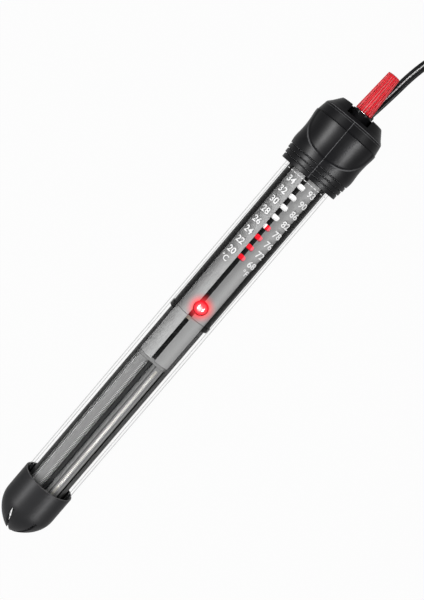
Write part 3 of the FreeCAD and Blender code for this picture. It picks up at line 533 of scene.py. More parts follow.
def pin_metal():
    """Brass beyond the black sleeve that covers the half of each pin by the plug."""
    material, start = new_material("pin_brass_and_sleeve")
    x = start.node("TexCoord", output="Object").parts()[0]
    lines = start.node("TexNoise", None, {
        "Vector": start.node("TexCoord", output="Object"), "Scale": 1800.0,
    })
    low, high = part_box("plug_pins")
    bare = x > low[0] + (high[0] - low[0]) * sleeved_share
    colour = bare.mixed((0.012, 0.012, 0.012), lines.mixed((0.62, 0.42, 0.16), (0.8, 0.6, 0.28)))
    inputs = {"Base Color": colour, "Metallic": bare, "Roughness": 0.45 - bare * 0.2 + lines * 0.1}
    shader = start.node("BsdfPrincipled", None, inputs)
    start.node("OutputMaterial", None, {"Surface": shader})
    return material


def merged(meshes):
    """One mesh of several."""
    whole = bmesh.new()
    for mesh in meshes:
        whole.from_mesh(mesh)
    made = bpy.data.meshes.new("merged")
    whole.to_mesh(made)
    whole.free()
    made.shade_smooth()
    made.set_sharp_from_angle(angle=math.radians(38))
    return made


def make_plug_pins():
    """Two round pins, thicker where they are sleeved and rounded at their tips."""
    low, high = [Vector(corner) * 1000 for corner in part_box("plug_pins")]
    middle = (low + high) / 2
    sleeve_radius, pin_radius, nose_length, pin_space, count = 1.98, 1.86, 1.9, 4, 32
    length = high.x - low.x
    sleeve_end, nose_start = length * sleeved_share, length - nose_length
    profile = [(0, 0), (0, sleeve_radius), (sleeve_end, sleeve_radius)]
    profile += [(sleeve_end + 0.1, pin_radius), (nose_start, pin_radius)]
    profile += [
        (nose_start + nose_length * math.sin(math.radians(a)), pin_radius * math.cos(math.radians(a)))
        for a in range(15, 91, 15)
    ]
    angles = [2 * math.pi * k / count for k in range(count)]
    both = []
    for way in (-1, 1):
        centre = middle.y + way * (high.y - low.y - pin_space) / 2
        both.append(skin([
            [
                Vector((low.x + x, centre + r * math.cos(a), middle.z + r * math.sin(a))) / 1000
                for a in angles
            ]
            for x, r in profile
        ]))
    pins = add_object("mains_pins", merged(both), pin_metal())
    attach(pins, "heater")
    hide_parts("plug_pins")
    return pins


make_cord([make_plug_body(), make_plug_pins(), hank_band])


# Soft pad at the closed end: a felt-like glass-fibre cushion that keeps the elements off
# the round end of the tube.
def dress(material, *names):
    """Give carried-over pieces their material."""
    for name in names:
        piece = frame["nodes"][name]
        piece.data.materials.clear()
        piece.data.materials.append(material)


dress(moulded("glass_fibre", (0.5, 0.48, 0.44), (0.75, 0.73, 0.7), 0.9, 2.5, 0.6), "bottom_cushion")


# Element carrier: a dark pressed channel with a wall down its middle, and the two ceramic
# discs that hold the ends of the elements.
def carrier_black():
    """Nearly black, with the streaks of drawn sheet along it, a dull sheen and a painted highlight
    along one edge.
    """
    material, start = new_material("carrier_black")
    lit_edge = -8.5
    place = local(start)
    streaks = start.node("Mapping", None, {"Vector": place, "Scale": (0.05, 3.0, 3.0)})
    fine = noise(start, streaks, 2.0)
    # Painted highlight: a lit grey line along the carrier at y -8.5.
    lit = place.parts()[1].near(lit_edge, 0.5, 0.4)
    shade = lit.mixed((0.005, 0.005, 0.005), (0.09, 0.09, 0.09))
    colour = (fine * 0.5).mixed(shade, (0.02, 0.02, 0.02))
    finish_surface(start, colour, fine * 0.2 + 0.35, fine, 0.1)
    return material


dress(carrier_black(), "element_trough")
dress(moulded("ceramic_grey", (0.20, 0.20, 0.20), (0.28, 0.28, 0.28), 0.7, 5.0, 0.3),
      "element_disc_lower", "element_disc_upper")
dress(moulded("ceramic_ivory", (0.55, 0.53, 0.48), (0.7, 0.68, 0.63), 0.7, 5.0, 0.3),
      "ceramic_core_left", "ceramic_core_right")


# Element sheaths: thin grey sleeves round the windings, slotted along their length, with
# rows of fine perforations that let the bright wire show like the teeth of a comb.
def sheath_grey(name, dark, light, combs, lines):
    """Grey with combs of bright wire behind fine perforations, and lines along the sleeve, dark ones
    and painted highlights: a comb is its middle and half width, and a line is its place, half width
    and grey."""
    material, start = new_material(name)
    wire_pitch, slotted_middle, slotted_half = 0.82, 67.5, 38.0
    place = local(start)
    x, y = place.parts()[:2]
    streaks = start.node("Mapping", None, {"Vector": place, "Scale": (0.1, 4.0, 4.0)})
    fine = noise(start, streaks, 3.0)
    tooth = start.math("SINE", x * (2 * math.pi / wire_pitch))
    grey = fine.mixed((dark,) * 3, (light,) * 3)
    for middle, half, shade in lines:
        grey = y.near(middle, half, 0.25).mixed(grey, (shade,) * 3)
    for middle, half in combs:
        strip = y.near(middle, half, 0.2) * x.near(slotted_middle, slotted_half, 1.0)
        wire = tooth.rise(-0.3, 0.3).mixed((0.10, 0.10, 0.10), (0.78, 0.78, 0.78))
        grey = strip.mixed(grey, wire)
    finish_surface(start, grey, fine * 0.2 + 0.4, tooth, 0.2, {"Specular IOR Level": 0.04})
    return material


dress(sheath_grey("sheath_left_grey", 0.22, 0.36, [(7.2, 0.75), (2.2, 0.8)], []),
      "element_sheath_left")
# The right sheath's pale line at -7.0 is a painted highlight along the sleeve; the one at -3.2 is a
# thin dark line.
dress(sheath_grey("sheath_right_grey", 0.20, 0.30, [(-4.9, 0.75)],
                  [(-3.2, 0.2, 0.07), (-7.0, 0.3, 0.55)]), "element_sheath_right")


# Heating windings: bright resistance wire, wound close on each ceramic core from the one
# end disc to the other.
def winding_nodes(material):
    """Geometry Nodes that wind a wire of so many turns, with its other sizes in metres."""
    group = bpy.data.node_groups.new("winding", "GeometryNodeTree")
    group.interface.new_socket("Geometry", in_out="OUTPUT", socket_type="NodeSocketGeometry")
    for name in ("Turns", "Radius", "Length", "Wire"):
        group.interface.new_socket(name, in_out="INPUT", socket_type="NodeSocketFloat")
    nodes, links = group.nodes, group.links
    given = nodes.new("NodeGroupInput")
    spiral = nodes.new("GeometryNodeCurveSpiral")
    spiral.inputs["Resolution"].default_value = 20
    profile = nodes.new("GeometryNodeCurvePrimitiveCircle")
    profile.inputs["Resolution"].default_value = 6
    wire = nodes.new("GeometryNodeCurveToMesh")
    wire.inputs["Fill Caps"].default_value = True
    real = nodes.new("GeometryNodeRealizeInstances")
    painted = nodes.new("GeometryNodeSetMaterial")
    painted.inputs["Material"].default_value = material
    last = nodes.new("NodeGroupOutput")
    links.new(given.outputs["Turns"], spiral.inputs["Rotations"])
    links.new(given.outputs["Radius"], spiral.inputs["Start Radius"])
    links.new(given.outputs["Radius"], spiral.inputs["End Radius"])
    links.new(given.outputs["Length"], spiral.inputs["Height"])
    links.new(given.outputs["Wire"], profile.inputs["Radius"])
    links.new(spiral.outputs["Curve"], wire.inputs["Curve"])
    links.new(profile.outputs["Curve"], wire.inputs["Profile Curve"])
    links.new(wire.outputs["Mesh"], real.inputs["Geometry"])
    links.new(real.outputs["Geometry"], painted.inputs["Geometry"])
    links.new(painted.outputs["Geometry"], last.inputs["Geometry"])
    return group


def grown(group, **settings):
    """The plain mesh that a group of Geometry Nodes makes with these inputs."""
    holder = bpy.data.objects.new("growing", bpy.data.meshes.new("growing"))
    bpy.context.scene.collection.objects.link(holder)
    modifier = holder.modifiers.new("nodes", "NODES")
    modifier.node_group = group
    for socket in group.interface.items_tree:
        if socket.in_out == "INPUT":
            modifier[socket.identifier] = settings[socket.name]
    evaluated = holder.evaluated_get(bpy.context.evaluated_depsgraph_get())
    mesh = bpy.data.meshes.new_from_object(evaluated)
    bpy.data.objects.remove(holder)
    return mesh


def make_winding(side_name, y):
    """A winding on one core, which lies at y."""
    z, radius, start_x, length, wire_radius, turns = 2.4, 2.57, 34, 68, 0.24, 82.0
    wire, start = new_material(f"resistance_wire_{side_name}")
    fine = noise(start, local(start), 6.0)
    finish_surface(
        start, fine.mixed((0.62, 0.61, 0.6), (0.85, 0.85, 0.84)), fine * 0.2 + 0.25,
        None, 0, {"Metallic": 0.6},
    )
    mesh = grown(
        winding_nodes(wire), Turns=turns, Radius=radius / 1000, Length=length / 1000,
        Wire=wire_radius / 1000,
    )
    turn = Matrix.Rotation(math.radians(90), 4, "Y") @ Matrix.Scale(1000, 4)
    mesh.transform(laid @ Matrix.Translation((start_x, y, z)) @ turn)
    mesh.shade_smooth()
    winding = add_object(f"winding_{side_name}", mesh, wire)
    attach(winding, "heater")
    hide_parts(f"heating_coil_{side_name}")


make_winding("left", 4.544)
make_winding("right", -4.244)


# Lead wires, insulating disc, terminal board and thermostat: cloth-covered wire, pressed
# fibre board, spring steel, silver contacts and a small black magnet on nickelled brass.
dress(moulded("wire_sleeve", (0.6, 0.58, 0.52), (0.8, 0.78, 0.72), 0.8, 8.0, 0.5),
      "lead_wire_left", "lead_wire_right")
dress(moulded("mica", (0.30, 0.27, 0.22), (0.42, 0.38, 0.32), 0.5, 3.0, 0.3), "insulating_disc")
dress(moulded("fibre_board", (0.10, 0.055, 0.03), (0.16, 0.09, 0.05), 0.6, 4.0, 0.3),
      "terminal_board")
dress(moulded("spring_steel", (0.45, 0.44, 0.43), (0.6, 0.6, 0.6), 0.3, 3.0, 0.1,
              {"Metallic": 1.0}), "bimetal_arm", "bimetal_post")
dress(moulded("contact_silver", (0.75, 0.75, 0.74), (0.9, 0.9, 0.88), 0.22, 6.0, 0.1,
              {"Metallic": 1.0}), "moving_contact", "fixed_contact")
dress(moulded("magnet_black", (0.015, 0.015, 0.016), (0.04, 0.04, 0.04), 0.6, 6.0, 0.2),
      "magnet")
dress(moulded("bearing_nylon", (0.55, 0.55, 0.52), (0.7, 0.7, 0.67), 0.5, 4.0, 0.2),
      "spindle_bearing")


# Lamp: a red moulded dome with its bead lit inside, on a post on the board. The dome is nearly white
# at its middle, and a soft red halo of painted light lies on what is near it.
lamp_place = (142.9, -1.5)


def near_lamp(place, inner, outer, middle=lamp_place):
    """1 at the lamp and 0 far from it, by the distance over the face of the scale."""
    x, y = place.parts()[:2]
    away = ((x - middle[0]) ** 2.0 + (y - middle[1]) ** 2.0) ** 0.5
    return 1 - away.rise(inner, outer)


def halo(place):
    """How much painted red lamp light a place is given in its material."""
    return near_lamp(place, 2.0, 8.2) ** 1.5


def lamp_red():
    material, start = new_material("lamp_red")
    bead = (142.6, -1.3)
    place = local(start)
    core = near_lamp(place, 0.4, 1.7, bead)
    body = near_lamp(place, 1.2, 3.5, bead)
    fine = noise(start, place, 3.0)
    glow = core.mixed(body.mixed((0.55, 0.01, 0.02), (1.0, 0.08, 0.10)), (1.0, 0.88, 0.85))
    inputs = {
        "Base Color": fine.mixed((0.5, 0.01, 0.02), (0.6, 0.02, 0.03)), "Roughness": fine * 0.1 + 0.1,
        "Emission Color": glow, "Emission Strength": 1.0,
    }
    shader = start.node("BsdfPrincipled", None, inputs)
    start.node("OutputMaterial", None, {"Surface": shader})
    return material


def make_lamp():
    """The dome: a short drum under a half ball."""
    radius, base, dome, count = 3.45, 5.05, 7.3, 64
    x, y = lamp_place
    profile = [(base, 0.0), (base, radius - 0.1), (base + 0.2, radius), (dome - 0.6, radius)]
    profile += [
        (dome + radius * math.sin(math.radians(a)), radius * math.cos(math.radians(a)))
        for a in range(0, 91, 6)
    ]
    angles = [2 * math.pi * k / count for k in range(count)]
    rings = [
        [laid @ Vector((x + r * math.cos(a), y + r * math.sin(a), z)) for a in angles]
        for z, r in profile
    ]
    lens = add_object("lamp_dome", skin(rings), lamp_red())
    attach(lens, "heater")
    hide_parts("lamp_lens")


make_lamp()
dress(moulded("lamp_post_black", (0.01, 0.01, 0.01), (0.025, 0.025, 0.025), 0.5), "lamp_holder")


# Carrier and mask: black moulded plastic. The carrier's rounded edges are the black bands
# beside the scale, and the mask is the black line between its plates.
def satin_black(name, dark, light, roughness, painted_lamp_glow=False):
    """Black plastic, which can be given a painted red glow where it stands by the lamp."""
    material, start = new_material(name)
    place = local(start)
    fine = noise(start, place, 6.0)
    more = {"Specular IOR Level": 0.04}
    # Painted light: the lamp's red glow, put into this plastic as emission.
    if painted_lamp_glow:
        more["Emission Color"] = halo(place).mixed((0.0, 0.0, 0.0), (0.85, 0.03, 0.04))
        more["Emission Strength"] = 1.0
    finish_surface(start, fine.mixed(dark, light), fine * 0.1 + roughness, fine, 0.08, more)
    return material


dress(satin_black("carrier_plastic", (0.006, 0.006, 0.006), (0.012, 0.012, 0.012), 0.3), "chassis")
# The mask is given a painted red glow beside the lamp.
dress(satin_black("mask_black", (0.004, 0.004, 0.004), (0.008, 0.008, 0.008), 0.5, painted_lamp_glow=True),
      "window_mask")


# Scale plates and heat shields: thin curved sheets of brushed grey plastic, with painted shade that
# makes each darker at its left edge and lighter at its right one, and painted red lamp light beside
# the lamp.
left_sheet, right_sheet = (7.95, 1.13), (-1.0, -7.95)
plate_foot, shield_foot = 136.8, 110.2


def brushed_grey(name, sheet, foot, dark, light):
    """Grey with painted shade from dark at the left edge to light at the right, with fine lines along
    it, a dark rim at its foot and painted red lamp light beside the lamp."""
    material, start = new_material(name)
    left, right = sheet
    place = local(start)
    x, y = place.parts()[:2]
    streaks = start.node("Mapping", None, {"Vector": place, "Scale": (0.04, 2.0, 2.0)})
    lines = noise(start, streaks, 4.0, 3.0)
    fine = noise(start, place, 12.0)
    across = 1 - (y - right) / (left - right)
    # Painted shade: the grey runs from dark at the left edge to light at the right.
    shade = across.rise(0.0, 0.85) * 0.9 + lines * 0.12 - 0.03
    rim = 1 - abs(x - foot).rise(0.1, 0.25)
    grey = rim.mixed(shade.mixed((dark,) * 3, (light,) * 3), (0.10, 0.10, 0.10))
    # Painted light: red colour and glow where the lamp stands near.
    painted_red_light = halo(place)
    finish_surface(
        start, painted_red_light.mixed(grey, (0.5, 0.02, 0.02)), lines * 0.1 + 0.55, lines + fine, 0.12, {
            "Specular IOR Level": 0.06,
            "Emission Color": painted_red_light.mixed((0.0, 0.0, 0.0), (0.85, 0.05, 0.06)),
            "Emission Strength": 1.0,
        },
    )
    return material


dress(brushed_grey("plate_grey_left", left_sheet, plate_foot, 0.23, 0.47), "scale_plate_left")
dress(brushed_grey("plate_grey_right", right_sheet, plate_foot, 0.24, 0.50), "scale_plate_right")
dress(brushed_grey("shield_grey_left", left_sheet, shield_foot, 0.34, 0.48), "heat_shield_left")
dress(brushed_grey("shield_grey_right", right_sheet, shield_foot, 0.32, 0.46), "heat_shield_right")


# Indicator: the white backing that shows through the upper windows, the red strip in front
# of it, and the brass nut that carries the strip along the spindle's screw.
def strip_red():
    """Red plastic with a painted highlight that makes it paler on its right half, and a faint painted
    glow.
    """
    material, start = new_material("indicator_red")
    place = local(start)
    y = place.parts()[1]
    fine = noise(start, place, 5.0)
    # Painted highlight: the right half is a paler pink.
    pale = (0 - y).rise(1.0, 1.5)
    colour = pale.mixed((0.80, 0.008, 0.022), (0.93, 0.13, 0.17))
    red = (fine * 0.2).mixed(colour, (0.7, 0.01, 0.02))
    # Painted light: the strip is given a faint red glow of its own.
    glow = pale.mixed((0.30, 0.0, 0.004), (0.30, 0.04, 0.06))
    finish_surface(start, red, fine * 0.1 + 0.4, fine, 0.05, {
        "Emission Color": glow, "Emission Strength": 1.0,
    })
    return material


dress(strip_red(), "indicator_strip")
# Painted light: the white backing is given a grey glow of its own, which brightens it in its recess
# behind the windows.
dress(moulded("backing_white", (0.86, 0.86, 0.85), (0.95, 0.95, 0.94), 0.5, 5.0, 0.05,
              {"Emission Color": (0.40, 0.40, 0.40), "Emission Strength": 1.0}),
      "white_backing")
dress(moulded("nut_brass", (0.55, 0.38, 0.15), (0.72, 0.53, 0.24), 0.3, 4.0, 0.1,
              {"Metallic": 1.0}), "indicator_nut")


# Rubber stopper and seals: turned from matt black rubber. The stopper closes the mouth of
# the tube, and the two rings sit round the tube's end and the knob's shaft.
dress(moulded("seal_rubber", (0.010, 0.010, 0.011), (0.022, 0.022, 0.023), 0.6, 5.0, 0.2),
      "sealing_stopper", "shaft_seal", "tube_seal")


# Glass tube: drawn clear glass with one round end, fire-polished at its mouth. Its two
# faces darken where they turn away, which draws the thin grey lines along both sides.
def clear_glass():
    """Clear, but for the thin grey lines where its outer face and its bore turn away."""
    material, start = new_material("clear_glass")
    turned_away = start.node("LayerWeight", None, {"Blend": 0.5}, output=1)
    edge = turned_away.rise(0.68, 0.86)
    fine = noise(start, local(start), 0.5)
    shader = start.node("BsdfPrincipled", None, {
        "Base Color": edge.mixed((0.10, 0.11, 0.11), (0.34, 0.35, 0.35)),
        "Roughness": fine * 0.05 + 0.10, "IOR": 1.47, "Alpha": edge * 0.40 + 0.006,
        "Specular IOR Level": 0.15,
    })
    start.node("OutputMaterial", None, {"Surface": shader})
    return material


def lathe(profile, count, joined=False, shape=None, placed=laid):
    """A mesh turned round the heater's axis from (x, radius) points in millimetres."""
    angles = [2 * math.pi * k / count for k in range(count)]
    rings = []
    for x, radius in profile:
        ring = [Vector((x, radius * math.sin(a), radius * math.cos(a))) for a in angles]
        rings.append([placed @ (shape(point) if shape else point) for point in ring])
    return skin(rings, joined)


def make_tube():
    """The tube's outer face from its round tip to its mouth, and its bore back again."""
    outer, bore, tip, top = 12.5, 11.3, 5.5, 240.0
    quarter = [math.radians(angle) for angle in range(0, 91, 5)]
    centre = tip + outer
    profile = [(centre - outer * math.cos(a), outer * math.sin(a)) for a in quarter]
    profile += [(top - 0.4, outer), (top, outer - 0.4), (top, bore + 0.4), (top - 0.4, bore)]
    profile += [(centre - bore * math.cos(a), bore * math.sin(a)) for a in reversed(quarter)]
    tube = add_object("tube_glass", lathe(profile, 128), clear_glass())
    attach(tube, "heater")
    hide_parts("glass_tube")


make_tube()


# Printing on the glass: white ink. Degrees Celsius are in one column and Fahrenheit in the
# other, and a dashed line at the top shows how deep the heater must hang.
def letters(text, size, weight):
    """The flat mesh of some letters about their middle, size tall."""
    curve = bpy.data.curves.new("letters", "FONT")
    curve.body = text
    curve.size = size
    curve.offset = weight
    curve.align_x = "CENTER"
    curve.align_y = "CENTER"
    curve.resolution_u = 4
    holder = bpy.data.objects.new("letters", curve)
    bpy.context.scene.collection.objects.link(holder)
    bpy.context.view_layer.update()
    mesh = bpy.data.meshes.new_from_object(holder)
    bpy.data.objects.remove(holder)
    return mesh


def print_on_glass(mesh, x, y):
    """Wrap a flat mesh round the glass, just outside it: its right runs to the heater's."""
    radius = 12.56
    middle = math.asin(y / radius)
    for vertex in mesh.vertices:
        angle = middle - vertex.co.x / radius
        place = Vector((x + vertex.co.y, radius * math.sin(angle), radius * math.cos(angle)))
        vertex.co = laid @ place
    return mesh


def dash(length, width):
    """A short flat stroke across the heater."""
    mesh = bpy.data.meshes.new("dash")
    corners = [(-length / 2, -width / 2, 0), (length / 2, -width / 2, 0),
               (length / 2, width / 2, 0), (-length / 2, width / 2, 0)]
    mesh.from_pydata(corners, [], [(0, 1, 2, 3)])
    return mesh


def make_printing():
    celsius = (20, 22, 24, 26, 28, 30, 32, 34)
    fahrenheit = (68, 72, 76, 78, 82, 86, 90, 93)
    first_row, row_step, unit_row, water_line = 172.5, 5.859, 167.9, 216.9
    figure, bold, dash_pitch = 4.3, 0.10, 1.9
    prints = []
    for number, (left, right) in enumerate(zip(celsius, fahrenheit)):
        x = first_row + row_step * number
        prints.append(print_on_glass(letters(str(left), figure, bold), x, 5.1))
        prints.append(print_on_glass(letters(str(right), figure, bold), x, -6.5))
    prints.append(print_on_glass(letters("°C", 4.0, 0.05), unit_row, 5.5))
    prints.append(print_on_glass(letters("°F", 4.0, 0.05), unit_row, -6.4))
    for number in range(-6, 7):
        prints.append(print_on_glass(dash(1.3, 0.35), water_line, number * dash_pitch))
    ink = moulded("white_ink", (0.88, 0.88, 0.88), (0.96, 0.96, 0.96), 0.5, 6.0, 0.05)
    printing = add_object("scale_printing", merged(prints), ink)
    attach(printing, "heater")


make_printing()


# Guard cap: thin satin black plastic over the closed end. Its nose is split by six slots into petals,
# and its rim has a painted highlight.
def cut_away(mesh, cutter):
    """The mesh with the cutter's space taken out of it."""
    made = []
    for part in (mesh, cutter):
        holder = bpy.data.objects.new("part", part)
        bpy.context.scene.collection.objects.link(holder)
        made.append(holder)
    whole, tool = made
    modifier = whole.modifiers.new("cut", "BOOLEAN")
    modifier.object = tool
    modifier.operation = "DIFFERENCE"
    modifier.solver = "EXACT"
    evaluated = whole.evaluated_get(bpy.context.evaluated_depsgraph_get())
    result = bpy.data.meshes.new_from_object(evaluated)
    for holder in made:
        bpy.data.objects.remove(holder)
    result.shade_smooth()
    result.set_sharp_from_angle(angle=math.radians(30))
    return result


def prism(corners, low, high, placed):
    """A block over an outline in the (x, y) plane, from low to high."""
    rings = [[placed @ Vector((x, y, z)) for x, y in corners] for z in (low, high)]
    return skin(rings)


cap_rim = 31.2


def cap_plastic():
    """Satin black, with a painted highlight in grey on the rim's edge."""
    material, start = new_material("cap_plastic")
    place = local(start)
    fine = noise(start, place, 5.0)
    black = fine.mixed((0.018, 0.018, 0.019), (0.026, 0.026, 0.028))
    # Painted highlight: a thin grey line round the rim's edge.
    colour = place.parts()[0].near(cap_rim, 0.12, 0.12).mixed(black, (0.14, 0.14, 0.14))
    finish_surface(start, colour, fine * 0.12 + 0.36, fine, 0.12, {"Specular IOR Level": 0.05})
    return material


def nose_radius(x, reach, shoulder):
    """The radius of the cap's blunt nose at x, where reach is its radius at the shoulder."""
    return reach * max(0.0, 1 - (1 - x / shoulder) ** 2) ** (1 / 1.2)


def make_cap():
    """The cap's shell, turned from its tip to its rim and back, with its slots cut."""
    outer, wall, shoulder, straight, thin_from, rim = 13.55, 0.95, 17.0, 22.0, 27.0, cap_rim
    slots, first_slot, slot_depth = 6, 40, 14.5
    bore = outer - wall
    nose = [shoulder * (1 - math.cos(math.radians(a))) for a in range(0, 91, 5)]
    profile = [(x, nose_radius(x, outer, shoulder)) for x in nose]
    profile += [(straight, outer), (thin_from, outer), (rim - 0.3, outer), (rim, outer - 0.25)]
    profile += [(rim, bore + 0.2), (rim - 0.25, bore), (thin_from, bore)]
    profile += [(straight, bore), (shoulder, bore)]
    profile += [
        (x + wall * (1 - x / shoulder) * 1.4, nose_radius(x, bore, shoulder))
        for x in reversed(nose)
    ]
    mesh = lathe(profile, 144)
    corners = [(-2, -1.0), (slot_depth, -0.8), (slot_depth, 0.8), (-2, 1.0)]
    for number in range(slots):
        turn = Matrix.Rotation(math.radians(360 / slots * number + first_slot), 4, "X")
        mesh = cut_away(mesh, prism(corners, -0.05, 16, laid @ turn))
    cap = add_object("guard_cap", mesh, cap_plastic())
    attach(cap, "heater")
    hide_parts("tip_cap")


make_cap()


# Collar: a satin black bush that stands in the open front of the head's crown. The
# knob's shaft turns in its bore, and the stopper carries its foot.
stopper_top = 240.0


def make_collar():
    bore, radius = 2.05, 5.0
    profile = rounded([
        (stopper_top, bore, 0), (stopper_top, radius, 0.1),
        (collar_end, radius, 0.35), (collar_end, bore, 0.1),
    ])
    black = satin_black("collar_black", (0.008, 0.008, 0.009), (0.014, 0.014, 0.015), 0.22)
    collar = add_object("knob_bush", lathe(profile, 96, joined=True), black)
    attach(collar, "heater")
    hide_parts("knob_collar")


make_collar()


# Cord gland: a tapered rubber boot behind the knob, with rings moulded round the part
# that stands out of the crown, so that the cord doesn't kink there.
def make_gland():
    radius, groove, ring, ring_pitch = 2.8, 2.55, 2.75, 0.7
    top = gland_end[0]
    corners = [(stopper_top, 0, 0), (stopper_top, radius, 0.2), (256.1, radius, 0.1)]
    for number in range(2):
        x = collar_end + number * ring_pitch
        corners += [(x, groove, 0.1), (x + 0.3, groove, 0.1)]
        corners += [(x + 0.35, ring, 0.1), (x + 0.6, ring, 0.1)]
    corners += [(top - 0.5, 2.5, 0.1), (top, 2.4, 0.2), (top, 0, 0)]
    aside = laid @ Matrix.Translation((0, *gland_end[1:]))
    rubber = moulded("gland_rubber", (0.010, 0.010, 0.011), (0.02, 0.02, 0.021), 0.5)
    gland = add_object("cord_boot", lathe(rounded(corners, 2), 64, placed=aside), rubber)
    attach(gland, "heater")
    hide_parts("cord_gland")


make_gland()


# Head cover: soft satin black moulding. Three ribs are round its mouth, a thumb hollow is
# at its front and back, and its crown is open at the front, where the collar stands.
hollow_x, hollow_reach, hollow_power = 245.6, 16.2, 2.6


def from_hollow(x, y):
    """How far a place is from the middle of the thumb hollow, which is round but for its
    slightly squarer corners. It takes numbers or Signals."""
    return (abs(x - hollow_x) ** hollow_power + abs(y) ** hollow_power) ** (1 / hollow_power)


def head_plastic():
    """Satin black with painted highlights: thin grey lines along its edges, seam and hollow's rim."""
    material, start = new_material("head_plastic")
    place = local(start)
    x, y, z = place.parts()
    fine = noise(start, place, 7.0)
    broad = noise(start, place, 0.25)
    # Painted highlights: thin grey lines along the seam, the brow, the hollow's rim and the ribs.
    seam_highlight = y.near(0.0, 0.03, 0.10) * (x < 250.2) * (z > 0)
    brow = x.near(250.3, 0.06, 0.12) + x.near(249.3, 0.03, 0.1) * 0.5
    rim = from_hollow(x, y).near(hollow_reach, 0.10, 0.35)
    rim = rim * (1 - x.rise(233.0, 239.0)) * abs(y).rise(2.5, 6.0)
    ribs = x.near(221.0, 0.03, 0.12) + x.near(223.45, 0.03, 0.12) + x.near(225.9, 0.03, 0.12)
    lines = start.math("MINIMUM", seam_highlight * 0.8 + brow * 0.6 + rim * 0.45 + ribs * 0.45, 1.0)
    black = broad.mixed((0.004, 0.004, 0.005), (0.008, 0.008, 0.009))
    colour = lines.mixed(black, (0.28, 0.28, 0.29))
    finish_surface(start, colour, fine * 0.1 + 0.32, fine, 0.08, {"Specular IOR Level": 0.05})
    return material


def thumb_hollow(point):
    """Sink the outer face a little within the hollow, at the front and at the back."""
    deepest, slope, inner_radius, ribs_end, brow = 0.35, 0.9, 15.6, 226, 245.3
    radius = math.hypot(point.y, point.z)
    if radius < inner_radius or not ribs_end < point.x < brow:
        return point
    inside = min(1.0, max(0.0, (hollow_reach - from_hollow(point.x, point.y)) / slope))
    depth = deepest * inside * inside * (3 - 2 * inside)
    return Vector((point.x, point.y * (1 - depth / radius), point.z * (1 - depth / radius)))


def make_head():
    """The cover: turned round the axis, with its hollows sunk and its crown cut open."""
    mouth, crown, face, roof, floor = 218.6, 256.0, 251.9, 250.0, 240.3
    tube_bore, cavity, bush_bore, front_opening, cord_hole = 12.62, 11.6, 5.1, 5.8, 2.95
    ribs, rib_step, rib, groove, wider, spacing = 3, 2.45, 15.3, 14.7, 0.4, 0.5
    corners = [(mouth, tube_bore, 0.1), (mouth, rib, 0.4)]
    for number in range(ribs):
        end, more = mouth + rib_step * (number + 1), wider * number
        corners += [(end - 0.2, rib + more, 0.3), (end - 0.1, groove + more, 0.1)]
        corners += [(end + 0.1, groove + more, 0.1)]
        if number < ribs - 1:
            corners += [(end + 0.15, rib + more + wider, 0.35)]
    corners += [(226.1, 16.3, 0.3), (229.0, 16.8, 2.0), (235.0, 16.3, 5.0), (239.5, 16.55, 3.0)]
    corners += [(243.4, 17.1, 1.5), (245.1, 17.1, 0.2), (245.25, 16.75, 0.1)]
    corners += [(250.4, 15.85, 0.5), (face, 14.4, 0.4), (crown, 11.3, 0.4)]
    corners += [(crown, bush_bore, 0.1), (roof, bush_bore, 0.1), (roof, cavity, 0.2)]
    corners += [(floor, cavity, 0.1), (floor, tube_bore, 0.1)]
    profile = []
    outline = rounded(corners, 5)
    for start, stop in zip(outline, outline[1:] + outline[:1]):
        pieces = max(1, round((stop - start).length / spacing))
        profile += [start.lerp(stop, step / pieces) for step in range(pieces)]
    mesh = lathe(profile, 200, joined=True, shape=thumb_hollow)
    arc = [math.radians(a) for a in range(0, 181, 10)]
    opening = [(front_opening * math.cos(a), -front_opening * math.sin(a)) for a in arc]
    opening += [(-front_opening, 20.0), (front_opening, 20.0)]
    hole = [
        (cord_hole * math.cos(2 * a) + gland_end[1], cord_hole * math.sin(2 * a) + gland_end[2])
        for a in arc[:-1]
    ]
    upright = Matrix(((0, 0, 1, 0), (1, 0, 0, 0), (0, 1, 0, 0), (0, 0, 0, 1)))
    mesh = cut_away(mesh, prism(opening, face, 260.0, laid @ upright))
    mesh = cut_away(mesh, prism(hole, 246.0, 260.0, laid @ upright))
    head = add_object("head_moulding", mesh, head_plastic())
    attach(head, "heater")
    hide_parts("head_cover")


make_head()


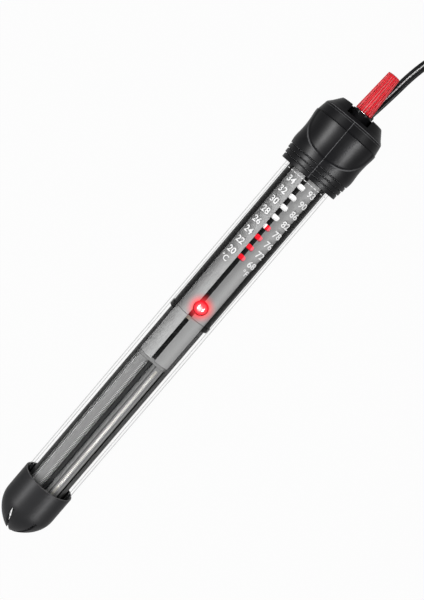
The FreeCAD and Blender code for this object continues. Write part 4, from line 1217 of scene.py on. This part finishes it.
# Spindle and knob: a steel shaft with a steep screw, and the red moulded knob on its end.
# The knob tapers, and sixteen hollow flutes leave sharp ridges between them.
def knob_red():
    """Red with a painted highlight that pales it along its ridges."""
    material, start = new_material("knob_red")
    ridge = start.node("Attribute", {"attribute_name": "ridge"}, output="Fac")
    fine = noise(start, local(start), 3.0)
    # Painted highlight: the ridges are coloured pale pink.
    pale = ridge.rise(0.80, 1.0) * 0.55
    red = fine.mixed((0.75, 0.008, 0.02), (0.84, 0.016, 0.03))
    colour = pale.mixed(red, (1.0, 0.50, 0.50))
    finish_surface(start, colour, fine * 0.1 + 0.25, constants={"Specular IOR Level": 0.06})
    return material


def make_knob():
    """The knob: a cone of fluted rings, whose ridges are marked for its colour."""
    start, base, end_radius, length = 256.6, 4.37, 3.13, 21.1
    flutes, flute_depth, points = 16, 0.42, 12
    stations = [(0, base - 0.35), (0.12, base - 0.12), (0.35, base)]
    stations += [
        (s, base + (end_radius - base) * s / length) for s in (1, 2, 4, 7, 10, 13, 16, 18, 19.5)
    ]
    stations += [(20.6, end_radius + 0.01), (20.95, end_radius - 0.12), (length, end_radius - 0.4)]
    count = flutes * points
    rings = []
    for s, radius in [(0, 0)] + stations + [(length, 0)]:
        ring = []
        for k in range(count):
            share = abs(((k % points) / points) * 2 - 1)
            depth = flute_depth * (1 - share ** 2) * (radius > 1) * (radius / base)
            angle = 2 * math.pi * (k + points / 2) / count
            r = radius - depth
            ring.append(laid @ Vector((start + s, r * math.sin(angle), r * math.cos(angle))))
        rings.append(ring)
    mesh = skin(rings)
    ridge = mesh.attributes.new("ridge", "FLOAT", "POINT")
    back = laid.inverted()
    for number, vertex in enumerate(mesh.vertices):
        place = back @ vertex.co
        angle = math.degrees(math.atan2(place.y, place.z)) / (360 / flutes)
        share = abs(((angle - 0.5) % 1.0) * 2 - 1)
        ridge.data[number].value = share * (math.hypot(place.y, place.z) > 1)
    knob = add_object("turning_knob", mesh, knob_red())
    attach(knob, "knob")
    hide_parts("knob")


make_knob()
dress(moulded("spindle_steel", (0.5, 0.5, 0.49), (0.62, 0.62, 0.61), 0.28, 2.0, 0.1,
              {"Metallic": 1.0}), "spindle")
